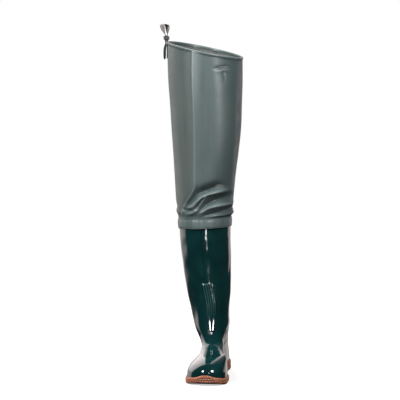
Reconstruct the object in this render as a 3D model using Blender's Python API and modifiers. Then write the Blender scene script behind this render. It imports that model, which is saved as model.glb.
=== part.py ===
"""Hip wader for the right foot: a gum sole, a moulded boot and a coated-fabric thigh shaft.

+X is the inner side of the foot, the toe points to -Y and +Z is up.  The origin lies on the floor under
the middle of the heel.  Sizes are in millimetres here and go into the meshes as metres.  A loop round
the leg starts at the back and runs by way of the inner side, the front and the outer side.
"""

from collections import namedtuple
import math

import bmesh
import bpy
import numpy as np

MM = 0.001

# Driving dimensions
SOLE_LENGTH = 292.0
BALL_WIDTH = 106.0
INSTEP_HEIGHT = 121.0
HEEL_CENTRE = 34.0
COLLAR_HEIGHT = 386.0
MOUTH_HEIGHT = 807.0

# Walls and clearances
GAP = 0.3
UPPER_WALL = 2.2
SHAFT_WALL = 1.0
BAND_WALL = 1.0
HEM_WALL = 0.7
PATCH_WALL = 1.1
INSOLE_THICKNESS = 4.0
STRAP_WALL = 1.5

# Sole: rounded ends, swing of the toe to the inner side, heel breast, and the pocket that holds the upper
HEEL_ROUND = 36.0
TOE_ROUND = 46.0
TOE_SWING = 6.0
BREAST_BACK = 0.270
BREAST_FRONT = 0.285
POCKET_INSET = 3.2
POCKET_CHAMFER = 0.5
UPPER_INSET = POCKET_INSET + GAP
INSOLE_PLAY = 0.8
INSOLE_INSET = UPPER_INSET + UPPER_WALL + INSOLE_PLAY
TOE_BUMPER = 1.4
BUMPER_START = 0.86
BUMPER_FULL = 0.95

# Chevron grooves of the tread
GROOVE_WIDTH = 5.0
GROOVE_DEPTH = 4.0
GROOVE_REACH = 75.0
GROOVE_SWEEP = 13.0
GROOVE_OVERCUT = 3.0

# Leg: overlap on the collar, band, slanted mouth and hem
COLLAR_OVERLAP = 22.0
COLLAR_TILT = 3.0
BAND_HEIGHT = 22.0
MOUTH_SIDE_SLANT = 20.0
MOUTH_BACK_RISE = 6.0
HEM_DEPTH = 6.0

# Shin patch
PATCH_TOP = 228.0
PATCH_COLUMNS = 9

# Strap at the outer hip
STRAP_WIDTH = 25.0
SLIDER_WIDTH = 32.0
SLIDER_DEPTH = 10.0
SLIDER_HEIGHT = 9.0
SLIDER_FOOT = 5.0
SLIDER_MIDDLE = 5.45
SLIDER_BEVEL = 0.6
SLOT_WIDTH = 26.0
SLOT_THICKNESS = 2.2
SLOT_INNER = 3.4
SLOT_OUTER = 7.5
STRAP_STATIONS = 30
TAIL_STATIONS = 12

SHARP_EDGE = math.radians(35.0)
COLUMNS = 40
ANGLES = np.arange(COLUMNS) * 2.0 * math.pi / COLUMNS
OUTER_SIDE = 1.5 * math.pi

PlanRow = namedtuple("PlanRow", "share inner outer")
FOOT_PLAN = (
    # shares of the ball width on each side, along the length
    PlanRow(0.00, 0.340, 0.340),
    PlanRow(0.12, 0.349, 0.349),
    PlanRow(0.24, 0.335, 0.349),
    PlanRow(0.38, 0.292, 0.368),
    PlanRow(0.52, 0.340, 0.425),
    PlanRow(0.64, 0.434, 0.486),
    PlanRow(0.73, 0.481, 0.505),
    PlanRow(0.83, 0.480, 0.497),
    PlanRow(0.92, 0.470, 0.472),
    PlanRow(1.00, 0.455, 0.440),
)

SoleRow = namedtuple("SoleRow", "share tread floor rim")
SOLE_PROFILE = (
    SoleRow(0.000, 0.0, 14.0, 25.0),
    SoleRow(BREAST_BACK, 0.0, 13.5, 23.5),
    SoleRow(BREAST_FRONT, 6.0, 13.0, 23.0),
    SoleRow(0.360, 6.5, 12.0, 21.0),
    SoleRow(0.460, 4.0, 10.0, 17.5),
    SoleRow(0.520, 0.0, 9.0, 15.5),
    SoleRow(0.700, 0.0, 8.0, 14.0),
    SoleRow(0.800, 0.0, 8.5, 14.2),
    SoleRow(0.900, 0.3, 9.5, 15.0),
    SoleRow(0.950, 2.4, 12.0, 17.2),
    SoleRow(0.980, 4.0, 14.2, 19.8),
    SoleRow(1.000, 5.0, 15.5, 25.5),
)

WallRow = namedtuple("WallRow", "rise inset bumper")
SOLE_WALL = (
    # rise from tread to rim, inset of the wall and share of the toe bumper that stands proud there
    WallRow(0.00, 2.2, 0.0),
    WallRow(0.08, 0.6, 0.0),
    WallRow(0.20, 0.0, 1.0),
    WallRow(0.42, 0.0, 1.0),
    WallRow(0.46, 0.9, 1.0),
    WallRow(0.54, 0.9, 1.0),
    WallRow(0.58, 0.0, 1.0),
    WallRow(0.86, 0.0, 1.0),
    WallRow(0.96, 0.5, 0.2),
    WallRow(1.00, 1.3, 0.0),
)

GrooveRun = namedtuple("GrooveRun", "first pitch count")
TREAD_GROOVES = (
    GrooveRun(10.0, 16.0, 4),
    GrooveRun(150.0, 14.0, 8),
)

FootLoop = namedtuple(
    "FootLoop",
    "name back front back_z front_z sag inner_in outer_in oval half_width back_round front_round swing lean",
)
UPPER_FOOT = (
    # back, front: shares of the length; back_z, front_z: shares of the instep height
    # sag: share of the sole's own dip; inner_in: how far the heel and inner side lean in over the sole,
    # outer_in: the same for the outer side at the front
    # oval: from the foot's plan (0) to a plain oval (1); half_width: share of the ball width
    FootLoop("low", 0.010, 0.981, 0.330, 0.322, 0.90, 4.0, 5.5, 0.00, 0.340, 33, 48, 6.0, 0),
    FootLoop("toe_side", 0.010, 0.959, 0.400, 0.405, 0.80, 5.0, 12.0, 0.00, 0.340, 33, 52, 6.0, 0),
    FootLoop("toe_top", 0.012, 0.918, 0.465, 0.475, 0.65, 6.0, 22.0, 0.00, 0.340, 33, 57, 6.0, 0),
    FootLoop("box_top", 0.014, 0.853, 0.530, 0.525, 0.50, 7.5, 29.0, 0.05, 0.340, 34, 62, 6.0, 0),
    FootLoop("vamp_low", 0.017, 0.760, 0.605, 0.556, 0.35, 8.5, 27.0, 0.15, 0.340, 35, 66, 6.0, 0),
    FootLoop("vamp", 0.022, 0.660, 0.692, 0.605, 0.20, 9.0, 24.0, 0.30, 0.349, 36, 70, 5.0, 0),
    FootLoop("instep", 0.027, 0.573, 0.793, 0.675, 0.10, 8.5, 17.0, 0.50, 0.358, 38, 72, 5.5, -2),
    FootLoop("instep_top", 0.033, 0.522, 0.901, 0.780, 0.00, 7.0, 11.0, 0.75, 0.373, 42, 64, 5.0, -4),
    FootLoop("throat", 0.036, 0.497, 1.025, 0.900, 0.00, 0.0, 0.0, 1.00, 0.396, 50, 60, 4.2, -6),
)
ANKLE_HEIGHT = 142.0
UPPER_LEG_ROWS = (ANKLE_HEIGHT, 165.0, 195.0, PATCH_TOP, 262.0, 300.0, 335.0, 362.0, 374.0, COLLAR_HEIGHT)

PatchRow = namedtuple("PatchRow", "z half_width turn")
SHIN_PATCH = (
    # turn: degrees of the patch's middle from the front, towards the inner side below nought
    PatchRow(INSTEP_HEIGHT * UPPER_FOOT[-1].front_z, 4.5, -5.0),
    PatchRow(ANKLE_HEIGHT, 9.0, -5.5),
    PatchRow(165.0, 11.5, -6.4),
    PatchRow(195.0, 13.0, -6.5),
    PatchRow(PATCH_TOP, 13.5, -4.5),
)

LegRow = namedtuple("LegRow", "z half_width half_depth centre_x centre_s shin_shift", defaults=(0.0,))
LEG_SECTIONS = (
    # ovals up the leg; centre_s is measured from the back of the heel
    # shin_shift: how far the front of the oval lies to the inner side of its middle
    LegRow(ANKLE_HEIGHT, 46.0, 63.3, -9.0, 73.8, 5.9),
    LegRow(170.0, 49.5, 63.3, -12.0, 70.2, 6.5),
    LegRow(205.0, 55.0, 64.2, -15.0, 66.8, 3.6),
    LegRow(240.0, 57.8, 66.5, -18.0, 64.0, 1.2),
    LegRow(300.0, 62.0, 70.0, -22.5, 62.5),
    LegRow(350.0, 63.8, 71.5, -25.0, 62.0),
    LegRow(390.0, 65.2, 72.8, -26.3, 62.0),
    LegRow(404.0, 69.0, 75.5, -25.6, 62.0),
    LegRow(430.0, 70.5, 77.0, -26.5, 62.0),
    LegRow(490.0, 75.0, 81.0, -25.5, 62.0),
    LegRow(550.0, 80.6, 85.0, -23.5, 62.0),
    LegRow(612.0, 86.0, 89.0, -22.5, 62.0),
    LegRow(674.0, 89.0, 92.0, -23.5, 61.5),
    LegRow(736.0, 92.0, 94.0, -25.0, 61.0),
    LegRow(780.0, 92.5, 95.0, -25.7, 61.0),
    LegRow(840.0, 92.0, 95.5, -25.7, 61.0),
)
SHAFT_ROWS = (0.0, 0.025, 0.05, 0.065, 0.09, 0.14, 0.22, 0.31, 0.41, 0.52, 0.63, 0.74, 0.86, 1.0)

StrapPoint = namedtuple("StrapPoint", "out up")
BELT_LOOP_ROUTE = (
    # out from the leg's surface and up from the edge of the mouth, at the middle of the webbing
    StrapPoint(2.35, -42.0),
    StrapPoint(2.35, -14.0),
    StrapPoint(3.40, -7.0),
    StrapPoint(SLOT_INNER, 5.0),
    StrapPoint(SLOT_INNER, 14.0),
    StrapPoint(2.6, 28.0),
    StrapPoint(3.6, 39.5),
    StrapPoint(8.0, 42.5),
    StrapPoint(13.5, 43.5),
    StrapPoint(16.5, 40.0),
    StrapPoint(14.0, 30.0),
    StrapPoint(9.5, 19.0),
    StrapPoint(SLOT_OUTER, 14.5),
    StrapPoint(SLOT_OUTER, 9.0),
)
TAIL_ROUTE = (
    StrapPoint(SLOT_OUTER, 8.7),
    StrapPoint(SLOT_OUTER, 4.5),
    StrapPoint(8.2, -8.0),
    StrapPoint(9.9, -24.0),
    StrapPoint(9.8, -44.0),
)

Finish = namedtuple("Finish", "name colour roughness metallic")
GUM = Finish("gum_rubber", (0.323, 0.122, 0.074), 0.65, 0.0)
BOOT_GREEN = Finish("glossy_boot", (0.004, 0.034, 0.035), 0.10, 0.0)
LEG_GREY = Finish("coated_fabric", (0.135, 0.174, 0.168), 0.42, 0.0)
SOCK_GREY = Finish("insole_felt", (0.180, 0.175, 0.165), 0.90, 0.0)
WEBBING_GREY = Finish("grey_webbing", (0.216, 0.195, 0.195), 0.80, 0.0)
WEBBING_BLACK = Finish("black_webbing", (0.011, 0.012, 0.011), 0.80, 0.0)
PLASTIC_BLACK = Finish("black_plastic", (0.010, 0.010, 0.010), 0.40, 0.0)


def mix(start, end, share):
    """Straight blend from start to end."""
    return start + (end - start) * share


def smooth_step(share):
    """Ease from 0 to 1 with level ends."""
    return share * share * (3.0 - 2.0 * share)


class SmoothColumn:
    """A table column as a curve: cubic pieces with limited slopes, so it never swings past its rows."""

    def __init__(self, rows, key, column):
        self.at = np.array([getattr(row, key) for row in rows])
        self.value = np.array([getattr(row, column) for row in rows])
        self.step = np.diff(self.at)
        rise = np.diff(self.value) / self.step
        self.slope = np.concatenate(([rise[0]], np.zeros(len(rows) - 2), [rise[-1]]))
        before, after = rise[:-1], rise[1:]
        same_way = before * after > 0.0
        safe_sum = np.where(same_way, before + after, 1.0)
        self.slope[1:-1] = np.where(same_way, 2.0 * before * after / safe_sum, 0.0)

    def __call__(self, places):
        places = np.clip(places, self.at[0], self.at[-1])
        span = np.clip(np.searchsorted(self.at, places, side="right") - 1, 0, len(self.step) - 1)
        width = self.step[span]
        t = (places - self.at[span]) / width
        start, end = self.value[span], self.value[span + 1]
        leave = t * (1.0 - t) ** 2 * width * self.slope[span]
        arrive = t * t * (1.0 - t) * width * self.slope[span + 1]
        return mix(start, end, smooth_step(t)) + leave - arrive


PLAN_INNER = SmoothColumn(FOOT_PLAN, "share", "inner")
PLAN_OUTER = SmoothColumn(FOOT_PLAN, "share", "outer")
TREAD = SmoothColumn(SOLE_PROFILE, "share", "tread")
FLOOR = SmoothColumn(SOLE_PROFILE, "share", "floor")
RIM = SmoothColumn(SOLE_PROFILE, "share", "rim")
LEG_HALF_WIDTH = SmoothColumn(LEG_SECTIONS, "z", "half_width")
LEG_HALF_DEPTH = SmoothColumn(LEG_SECTIONS, "z", "half_depth")
LEG_CENTRE_X = SmoothColumn(LEG_SECTIONS, "z", "centre_x")
LEG_CENTRE_S = SmoothColumn(LEG_SECTIONS, "z", "centre_s")
LEG_SHIN_SHIFT = SmoothColumn(LEG_SECTIONS, "z", "shin_shift")


def along(angle):
    """Share of the way from the back of a loop to its front."""
    return (1.0 - np.cos(angle)) / 2.0


def round_off(distance, radius):
    """Quarter ellipse that closes an outline: 0 at its end, 1 from one radius inwards."""
    inward = np.clip(distance / radius, 0.0, 1.0)
    return np.sqrt(1.0 - (1.0 - inward) ** 2)


def plan_half_width(share, angle):
    """Half width of the foot's plan on the side that the angle is on, before its ends are closed."""
    return BALL_WIDTH * np.where(np.sin(angle) >= 0.0, PLAN_INNER(share), PLAN_OUTER(share))


def points(x, s, z):
    """Stack coordinates as points, with s counted from the back of the heel towards the toe."""
    return np.stack(np.broadcast_arrays(x, HEEL_CENTRE - s, z), axis=-1)


def sole_loop(angle, inset, height):
    """The sole's outline moved in by inset, at the given height."""
    t = along(angle)
    back, front = inset, SOLE_LENGTH - inset
    s = mix(back, front, t)
    half = plan_half_width(t, angle) - inset
    mean_inset = np.mean(inset)
    half = half * round_off(s - back, HEEL_ROUND - mean_inset) * round_off(front - s, TOE_ROUND - mean_inset)
    return points(np.sign(np.sin(angle)) * half + TOE_SWING * t**2, s, height)


def foot_loop(angle, row):
    """A slanted section of the boot's foot, from the plan at the toe to a plain oval at the throat."""
    t = along(angle)
    back, front = row.back * SOLE_LENGTH, row.front * SOLE_LENGTH
    s = mix(back, front, t)
    share = s / SOLE_LENGTH
    outer_lean = mix(row.inner_in, row.outer_in, smooth_step(t))
    plan = plan_half_width(share, angle) - np.where(np.sin(angle) >= 0.0, row.inner_in, outer_lean)
    half = mix(plan, row.half_width * BALL_WIDTH, row.oval)
    half = half * round_off(s - back, row.back_round) * round_off(front - s, row.front_round)
    dip = FLOOR(share) - mix(FLOOR(0.0), FLOOR(1.0), share)
    z = INSTEP_HEIGHT * mix(row.back_z, row.front_z, t) + row.sag * dip
    return points(np.sign(np.sin(angle)) * half + row.swing * t**2 + row.lean, s, z)


def leg_loop(angle, z, out):
    """An oval section of the leg at height z, moved outwards by out."""
    shift = LEG_SHIN_SHIFT(z) * np.maximum(-np.cos(angle), 0.0) ** 2
    x = LEG_CENTRE_X(z) + (LEG_HALF_WIDTH(z) + out) * np.sin(angle) + shift
    s = LEG_CENTRE_S(z) - (LEG_HALF_DEPTH(z) + out) * np.cos(angle)
    return points(x, s, z)


def collar_low(angle):
    """Lower edge of the fabric on the boot, higher on the inner side."""
    return COLLAR_HEIGHT - COLLAR_OVERLAP + COLLAR_TILT * np.sin(angle)


def mouth(angle):
    """Edge of the mouth: high at the outer hip, low at the inner thigh, a little higher at the back."""
    return MOUTH_HEIGHT - MOUTH_SIDE_SLANT * np.sin(angle) + MOUTH_BACK_RISE * np.cos(angle)


def grid_faces(rows, columns, ring):
    """Quads between neighbouring rows; their fronts face away from the leg when the rows run upwards."""
    last = columns if ring else columns - 1
    faces = []
    for row in range(rows - 1):
        for column in range(last):
            after = (column + 1) % columns
            low, high = row * columns, (row + 1) * columns
            faces.append((low + column, high + column, high + after, low + after))
    return faces


def ladder_faces(first, columns, upwards):
    """Faces across a loop, each rung joining two points at the same place along the foot."""
    half = columns // 2
    faces = [(0, 1, columns - 1)]
    for column in range(1, half - 1):
        faces.append((column, column + 1, columns - column - 1, columns - column))
    faces.append((half - 1, half, half + 1))
    order = -1 if upwards else 1
    return [tuple(first + corner for corner in face)[::order] for face in faces]


def new_material(finish):
    """Principled material with the finish's colour, roughness and metallic value."""
    material = bpy.data.materials.new(finish.name)
    material.use_nodes = True
    shader = material.node_tree.nodes["Principled BSDF"]
    shader.inputs["Base Color"].default_value = (*finish.colour, 1.0)
    shader.inputs["Roughness"].default_value = finish.roughness
    shader.inputs["Metallic"].default_value = finish.metallic
    return material


def add_piece(name, vertices, faces, finish, collection):
    """New smooth-shaded mesh object, from points in millimetres."""
    mesh = bpy.data.meshes.new(name)
    mesh.from_pydata((np.asarray(vertices) * MM).tolist(), [], faces)
    mesh.shade_smooth()
    mesh.set_sharp_from_angle(angle=SHARP_EDGE)
    piece = bpy.data.objects.new(name, mesh)
    piece.data.materials.append(new_material(finish))
    collection.objects.link(piece)
    return piece


def add_wall(piece, thickness, side):
    """Give an open surface its wall: side -1 grows inwards, 1 outwards and 0 both ways."""
    wall = piece.modifiers.new("wall", "SOLIDIFY")
    wall.thickness = thickness * MM
    wall.offset = side
    wall.use_even_offset = True
    wall.use_quality_normals = True


def add_shell(name, loops, thickness, side, finish, collection):
    """Hollow piece lofted through closed loops, open at both ends."""
    vertices = np.concatenate(loops)
    piece = add_piece(name, vertices, grid_faces(len(loops), COLUMNS, True), finish, collection)
    add_wall(piece, thickness, side)
    return piece


def add_solid(name, loops, finish, collection):
    """Closed piece lofted through loops, with its first loop closed below and its last one above."""
    columns = len(loops[0])
    faces = grid_faces(len(loops), columns, True)
    faces += ladder_faces(0, columns, False)
    faces += ladder_faces((len(loops) - 1) * columns, columns, True)
    return add_piece(name, np.concatenate(loops), faces, finish, collection)


def subtract(piece, cutter):
    """Cut one object out of another."""
    cut = piece.modifiers.new("cut", "BOOLEAN")
    cut.operation = "DIFFERENCE"
    cut.object = cutter


def add_cutter(name, bm, collection):
    """Hidden object that only cuts."""
    bmesh.ops.recalc_face_normals(bm, faces=bm.faces)
    mesh = bpy.data.meshes.new(name)
    bm.to_mesh(mesh)
    bm.free()
    cutter = bpy.data.objects.new(name, mesh)
    cutter.hide_render = True
    cutter.display_type = "WIRE"
    collection.objects.link(cutter)
    return cutter


def sole_angles():
    """The common angles, with the two edges of the heel breast added on both sides."""
    breast = [math.acos(1.0 - 2.0 * share) for share in (BREAST_BACK, BREAST_FRONT)]
    extra = breast + [2.0 * math.pi - angle for angle in breast]
    return np.sort(np.concatenate((ANGLES, extra)))


def chevron(bm, s):
    """One bent bar of the tread's groove pattern, its point towards the toe."""
    tread = float(TREAD(s / SOLE_LENGTH))
    low, high = tread - GROOVE_OVERCUT, tread + GROOVE_DEPTH
    half = GROOVE_WIDTH / 2.0
    sections = []
    for reach in (-1.0, 0.0, 1.0):
        middle = HEEL_CENTRE - s + GROOVE_SWEEP * abs(reach)
        corners = []
        for across, height in ((-half, low), (half, low), (half, high), (-half, high)):
            place = (reach * GROOVE_REACH, middle + across, height)
            corners.append(bm.verts.new([value * MM for value in place]))
        sections.append(corners)
    for start, end in zip(sections, sections[1:]):
        for corner in range(4):
            after = (corner + 1) % 4
            bm.faces.new((start[corner], start[after], end[after], end[corner]))
    bm.faces.new(sections[0])
    bm.faces.new(sections[-1])


def build_outsole(parts, cutters):
    """Moulded sole: side wall with a groove and toe bumper, raised rim, pocket and chevron tread."""
    angle = sole_angles()
    t = along(angle)
    tread, floor, rim = TREAD(t), FLOOR(t), RIM(t)
    toe = smooth_step(np.clip((t - BUMPER_START) / (BUMPER_FULL - BUMPER_START), 0.0, 1.0))
    loops = []
    for row in SOLE_WALL:
        inset = row.inset - TOE_BUMPER * row.bumper * toe
        loops.append(sole_loop(angle, inset, mix(tread, rim, row.rise)))
    loops.append(sole_loop(angle, POCKET_INSET - POCKET_CHAMFER, rim))
    loops.append(sole_loop(angle, POCKET_INSET, rim - POCKET_CHAMFER))
    loops.append(sole_loop(angle, POCKET_INSET, floor))
    outsole = add_solid("outsole", loops, GUM, parts)
    bm = bmesh.new()
    for run in TREAD_GROOVES:
        for number in range(run.count):
            chevron(bm, run.first + number * run.pitch)
    subtract(outsole, add_cutter("tread_cutter", bm, cutters))


def build_insole(parts):
    """Flat sock insole lying on the sole's floor."""
    floor = FLOOR(along(ANGLES)) + GAP
    loops = [sole_loop(ANGLES, INSOLE_INSET, floor + rise) for rise in (0.0, INSOLE_THICKNESS)]
    add_solid("insole", loops, SOCK_GREY, parts)


def build_upper(parts):
    """Moulded boot: feather edge in the sole's pocket, foot sections, then ovals up to the collar."""
    t = along(ANGLES)
    loops = [sole_loop(ANGLES, UPPER_INSET, FLOOR(t) + GAP), sole_loop(ANGLES, UPPER_INSET, RIM(t))]
    loops += [foot_loop(ANGLES, row) for row in UPPER_FOOT]
    loops += [leg_loop(ANGLES, z, 0.0) for z in UPPER_LEG_ROWS]
    add_shell("upper", loops, UPPER_WALL, -1.0, BOOT_GREEN, parts)


def build_shin_patch(parts):
    """Overlay cut from the boot's own sections: a shield with its point at the throat."""
    sweep = np.linspace(-1.0, 1.0, PATCH_COLUMNS)
    throat = UPPER_FOOT[-1]
    rows = []
    for row in SHIN_PATCH:
        reach = math.asin(row.half_width / float(LEG_HALF_WIDTH(row.z)))
        angle = math.pi + math.radians(row.turn) + sweep * reach
        loop = leg_loop(angle, row.z, 0.0) if rows else foot_loop(angle, throat)
        centre = loop.mean(axis=0) + (0.0, float(LEG_HALF_DEPTH(row.z)), 0.0)
        outwards = (loop - centre) * (1.0, 1.0, 0.0)
        rows.append(loop + GAP * outwards / np.linalg.norm(outwards, axis=1, keepdims=True))
    faces = grid_faces(len(rows), PATCH_COLUMNS, False)
    patch = add_piece("shin_patch", np.concatenate(rows), faces, BOOT_GREEN, parts)
    add_wall(patch, PATCH_WALL, 1.0)


def build_thigh_shaft(parts):
    """Coated-fabric leg from the boot's collar to the slanted mouth."""
    low, high = collar_low(ANGLES), mouth(ANGLES)
    loops = [leg_loop(ANGLES, mix(low, high, share), GAP + SHAFT_WALL) for share in SHAFT_ROWS]
    add_shell("thigh_shaft", loops, SHAFT_WALL, -1.0, LEG_GREY, parts)


def build_collar_band(parts):
    """Tape over the weld between boot and leg."""
    low = collar_low(ANGLES)
    out = GAP + SHAFT_WALL + GAP
    loops = [leg_loop(ANGLES, low + rise, out) for rise in (0.0, BAND_HEIGHT / 2.0, BAND_HEIGHT)]
    add_shell("collar_band", loops, BAND_WALL, 1.0, LEG_GREY, parts)


def build_top_hem(parts):
    """Binding folded over the edge of the mouth."""
    edge = mouth(ANGLES)
    outside = GAP + SHAFT_WALL + GAP
    route = ((0.0, -HEM_DEPTH), (0.0, GAP), (outside, GAP), (outside, -HEM_DEPTH))
    loops = []
    for out, rise in route:
        section = leg_loop(ANGLES, edge - HEM_DEPTH, out)
        section[:, 2] = edge + rise
        loops.append(section)
    add_shell("top_hem", loops, HEM_WALL, -1.0, LEG_GREY, parts)


def strap_route(route, stations):
    """Even steps along a smooth line through the strap's points, as out and up."""
    places = np.array(route)
    travelled = np.concatenate(([0.0], np.cumsum(np.linalg.norm(np.diff(places, axis=0), axis=1))))
    Step = namedtuple("Step", "way out up")
    rows = [Step(way, *place) for way, place in zip(travelled, places)]
    steps = np.union1d(np.linspace(0.0, travelled[-1], stations), travelled)
    return SmoothColumn(rows, "way", "out")(steps), SmoothColumn(rows, "way", "up")(steps)


def build_strap(name, route, stations, finish, parts):
    """Flat webbing at the outer hip, following its route."""
    edge = float(mouth(OUTER_SIDE))
    out, up = strap_route(route, stations)
    foot = leg_loop(OUTER_SIDE, np.minimum(edge + up, edge), 0.0)
    rows = []
    for share in (-0.5, 0.5):
        row = np.stack((foot[:, 0] - out, foot[:, 1] + share * STRAP_WIDTH, edge + up), axis=-1)
        rows.append(row)
    strap = add_piece(name, np.concatenate(rows), grid_faces(2, len(out), False), finish, parts)
    add_wall(strap, STRAP_WALL, 0.0)


def add_box(bm, size, middle):
    """Cube primitive stretched to a size and moved to a place, both in millimetres."""
    cube = bmesh.ops.create_cube(bm, size=MM)
    bmesh.ops.scale(bm, vec=size, verts=cube["verts"])
    bmesh.ops.translate(bm, vec=[value * MM for value in middle], verts=cube["verts"])


def build_strap_slider(parts, cutters):
    """Two-slot plastic slider that the loop and the tail of the strap run through."""
    edge = float(mouth(OUTER_SIDE))
    surface = leg_loop(OUTER_SIDE, edge, 0.0)
    x, y = float(surface[0]), float(surface[1])
    middle_z = edge + SLIDER_FOOT + SLIDER_HEIGHT / 2.0
    bm = bmesh.new()
    add_box(bm, (SLIDER_DEPTH, SLIDER_WIDTH, SLIDER_HEIGHT), (x - SLIDER_MIDDLE, y, middle_z))
    mesh = bpy.data.meshes.new("strap_slider")
    bm.to_mesh(mesh)
    bm.free()
    slider = bpy.data.objects.new("strap_slider", mesh)
    slider.data.materials.append(new_material(PLASTIC_BLACK))
    parts.objects.link(slider)
    slots = bmesh.new()
    for out in (SLOT_INNER, SLOT_OUTER):
        add_box(slots, (SLOT_THICKNESS, SLOT_WIDTH, 2.0 * SLIDER_HEIGHT), (x - out, y, middle_z))
    subtract(slider, add_cutter("slot_cutter", slots, cutters))
    bevel = slider.modifiers.new("edges", "BEVEL")
    bevel.width = SLIDER_BEVEL * MM
    bevel.segments = 2
    bevel.limit_method = "ANGLE"


def main():
    """Clear the scene and build every piece."""
    for old in list(bpy.data.objects):
        bpy.data.objects.remove(old, do_unlink=True)
    parts = bpy.data.collections.new("hip_wader")
    cutters = bpy.data.collections.new("cutters")
    for collection in (parts, cutters):
        bpy.context.scene.collection.children.link(collection)
    build_outsole(parts, cutters)
    build_insole(parts)
    build_upper(parts)
    build_shin_patch(parts)
    build_thigh_shaft(parts)
    build_collar_band(parts)
    build_top_hem(parts)
    build_strap("belt_loop", BELT_LOOP_ROUTE, STRAP_STATIONS, WEBBING_GREY, parts)
    build_strap("strap_tail", TAIL_ROUTE, TAIL_STATIONS, WEBBING_BLACK, parts)
    build_strap_slider(parts, cutters)


main()
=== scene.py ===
"""Looks of the right hip wader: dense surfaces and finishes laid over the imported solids.

Lengths in the tables are millimetres in the frame of the solids: +X is the inner side of the foot, the toe
points to -Y, +Z is up, and the origin lies on the floor under the middle of the heel.  An angle round a loop
starts at the back and runs by way of the inner side, the front and the outer side.  A turn is the same angle
in degrees counted from the front, positive towards the outer side.
"""

import logging
import math
from dataclasses import dataclass
from enum import Enum
from typing import NamedTuple, Optional, Sequence

import bpy
import numpy as np
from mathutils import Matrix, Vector


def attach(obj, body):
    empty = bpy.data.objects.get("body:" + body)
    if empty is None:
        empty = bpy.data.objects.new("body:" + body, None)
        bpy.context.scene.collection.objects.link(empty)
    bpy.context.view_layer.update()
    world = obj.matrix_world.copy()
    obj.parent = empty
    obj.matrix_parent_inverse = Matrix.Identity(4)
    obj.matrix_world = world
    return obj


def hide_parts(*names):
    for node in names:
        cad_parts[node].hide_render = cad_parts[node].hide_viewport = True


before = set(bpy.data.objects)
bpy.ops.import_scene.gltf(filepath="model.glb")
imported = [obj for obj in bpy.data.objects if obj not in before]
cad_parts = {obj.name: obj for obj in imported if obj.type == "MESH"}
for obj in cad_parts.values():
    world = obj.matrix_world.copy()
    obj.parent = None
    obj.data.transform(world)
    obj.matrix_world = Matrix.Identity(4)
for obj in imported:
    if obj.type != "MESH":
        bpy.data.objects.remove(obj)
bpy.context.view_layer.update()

Array = np.ndarray
Triple = tuple[float, float, float]
Colour = Triple
LOG = logging.getLogger("hip_wader")

MM = 0.001
BODY = "root"
FRONT = math.pi
OUTER_SIDE = 1.5 * math.pi
FULL_TURN = 2.0 * math.pi


def mix(start: Array, end: Array, share: Array) -> Array:
    """Straight blend from start to end."""
    return start + (end - start) * share


def smooth_step(share: Array) -> Array:
    """Ease from 0 to 1 with level ends: 3 t squared less 2 t cubed, held outside."""
    share = np.clip(share, 0.0, 1.0)
    return share * share * (3.0 - 2.0 * share)


class Ramp(NamedTuple):
    """Where an easing starts and how wide it is; a width below nought runs the other way."""

    start: float
    width: float


def ease(value: Array, start: Array, width: float) -> Array:
    """Smooth step from 0 at start to 1 one width further on."""
    return smooth_step((value - start) / width)


def bell(distance: Array) -> Array:
    """Bell curve: e to the power of minus the distance squared."""
    return np.exp(-distance * distance)


def along(angle: Array) -> Array:
    """Share of the way from the back of a loop to its front: (1 - cos angle) / 2."""
    return (1.0 - np.cos(angle)) / 2.0


def round_off(distance: Array, radius: Array) -> Array:
    """Quarter ellipse that closes an outline: 0 at its end, 1 from one radius inwards."""
    inward = np.clip(distance / radius, 0.0, 1.0)
    return np.sqrt(1.0 - (1.0 - inward) ** 2)


def turn_of(angle: Array) -> Array:
    """Degrees from the front, positive towards the outer side."""
    return np.degrees(angle - FRONT)


def ring_angles(columns: int) -> Array:
    """Even angles once round a loop."""
    return np.arange(columns) * FULL_TURN / columns


def scatter(column: Array, row: Array) -> Array:
    """Fixed scatter from -0.5 to 0.5: what follows the point in a large multiple of a sine."""
    spread = np.sin(column * 12.9898 + row * 78.233) * 43758.5453
    return spread - np.floor(spread) - 0.5


class Wave(NamedTuple):
    """A shallow wave over a tube: its height, crests round the tube, start, and rise for each radian."""

    height: float
    crests: float
    start: float = 0.0
    rise: float = math.inf


def sum_waves(waves: Sequence[Wave], phase: Array, z: Array = 0.0) -> Array:
    """Sum of each wave's height times a sine: of crests times the phase, plus start, plus z over rise."""
    return sum(wave.height * np.sin(wave.crests * phase + z / wave.rise + wave.start) for wave in waves)


class SmoothColumn:
    """A table column as a curve: cubic pieces with limited slopes, so it never swings past its rows."""

    def __init__(self, places: Sequence[float], values: Sequence[float]) -> None:
        """Take the rows; a slope is its neighbours' harmonic mean, or nought where they differ in sign.

        Args:
            places: where the rows are, rising.
            values: the column's value at each row.
        """
        self.at = np.asarray(places, float)
        self.value = np.asarray(values, float)
        self.step = np.diff(self.at)
        rise = np.diff(self.value) / self.step
        before, after = rise[:-1], rise[1:]
        same_way = before * after > 0.0
        safe_sum = np.where(same_way, before + after, 1.0)
        middle = np.where(same_way, 2.0 * before * after / safe_sum, 0.0)
        self.slope = np.concatenate((rise[:1], middle, rise[-1:]))

    def __call__(self, places: Array) -> Array:
        """Read the curve: a smooth step between two rows plus the part that each row's slope adds."""
        places = np.clip(places, self.at[0], self.at[-1])
        span = np.clip(np.searchsorted(self.at, places, side="right") - 1, 0, len(self.step) - 1)
        width = self.step[span]
        t = (places - self.at[span]) / width
        leave = t * (1.0 - t) ** 2 * width * self.slope[span]
        arrive = t * t * (1.0 - t) * width * self.slope[span + 1]
        return mix(self.value[span], self.value[span + 1], smooth_step(t)) + leave - arrive


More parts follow.
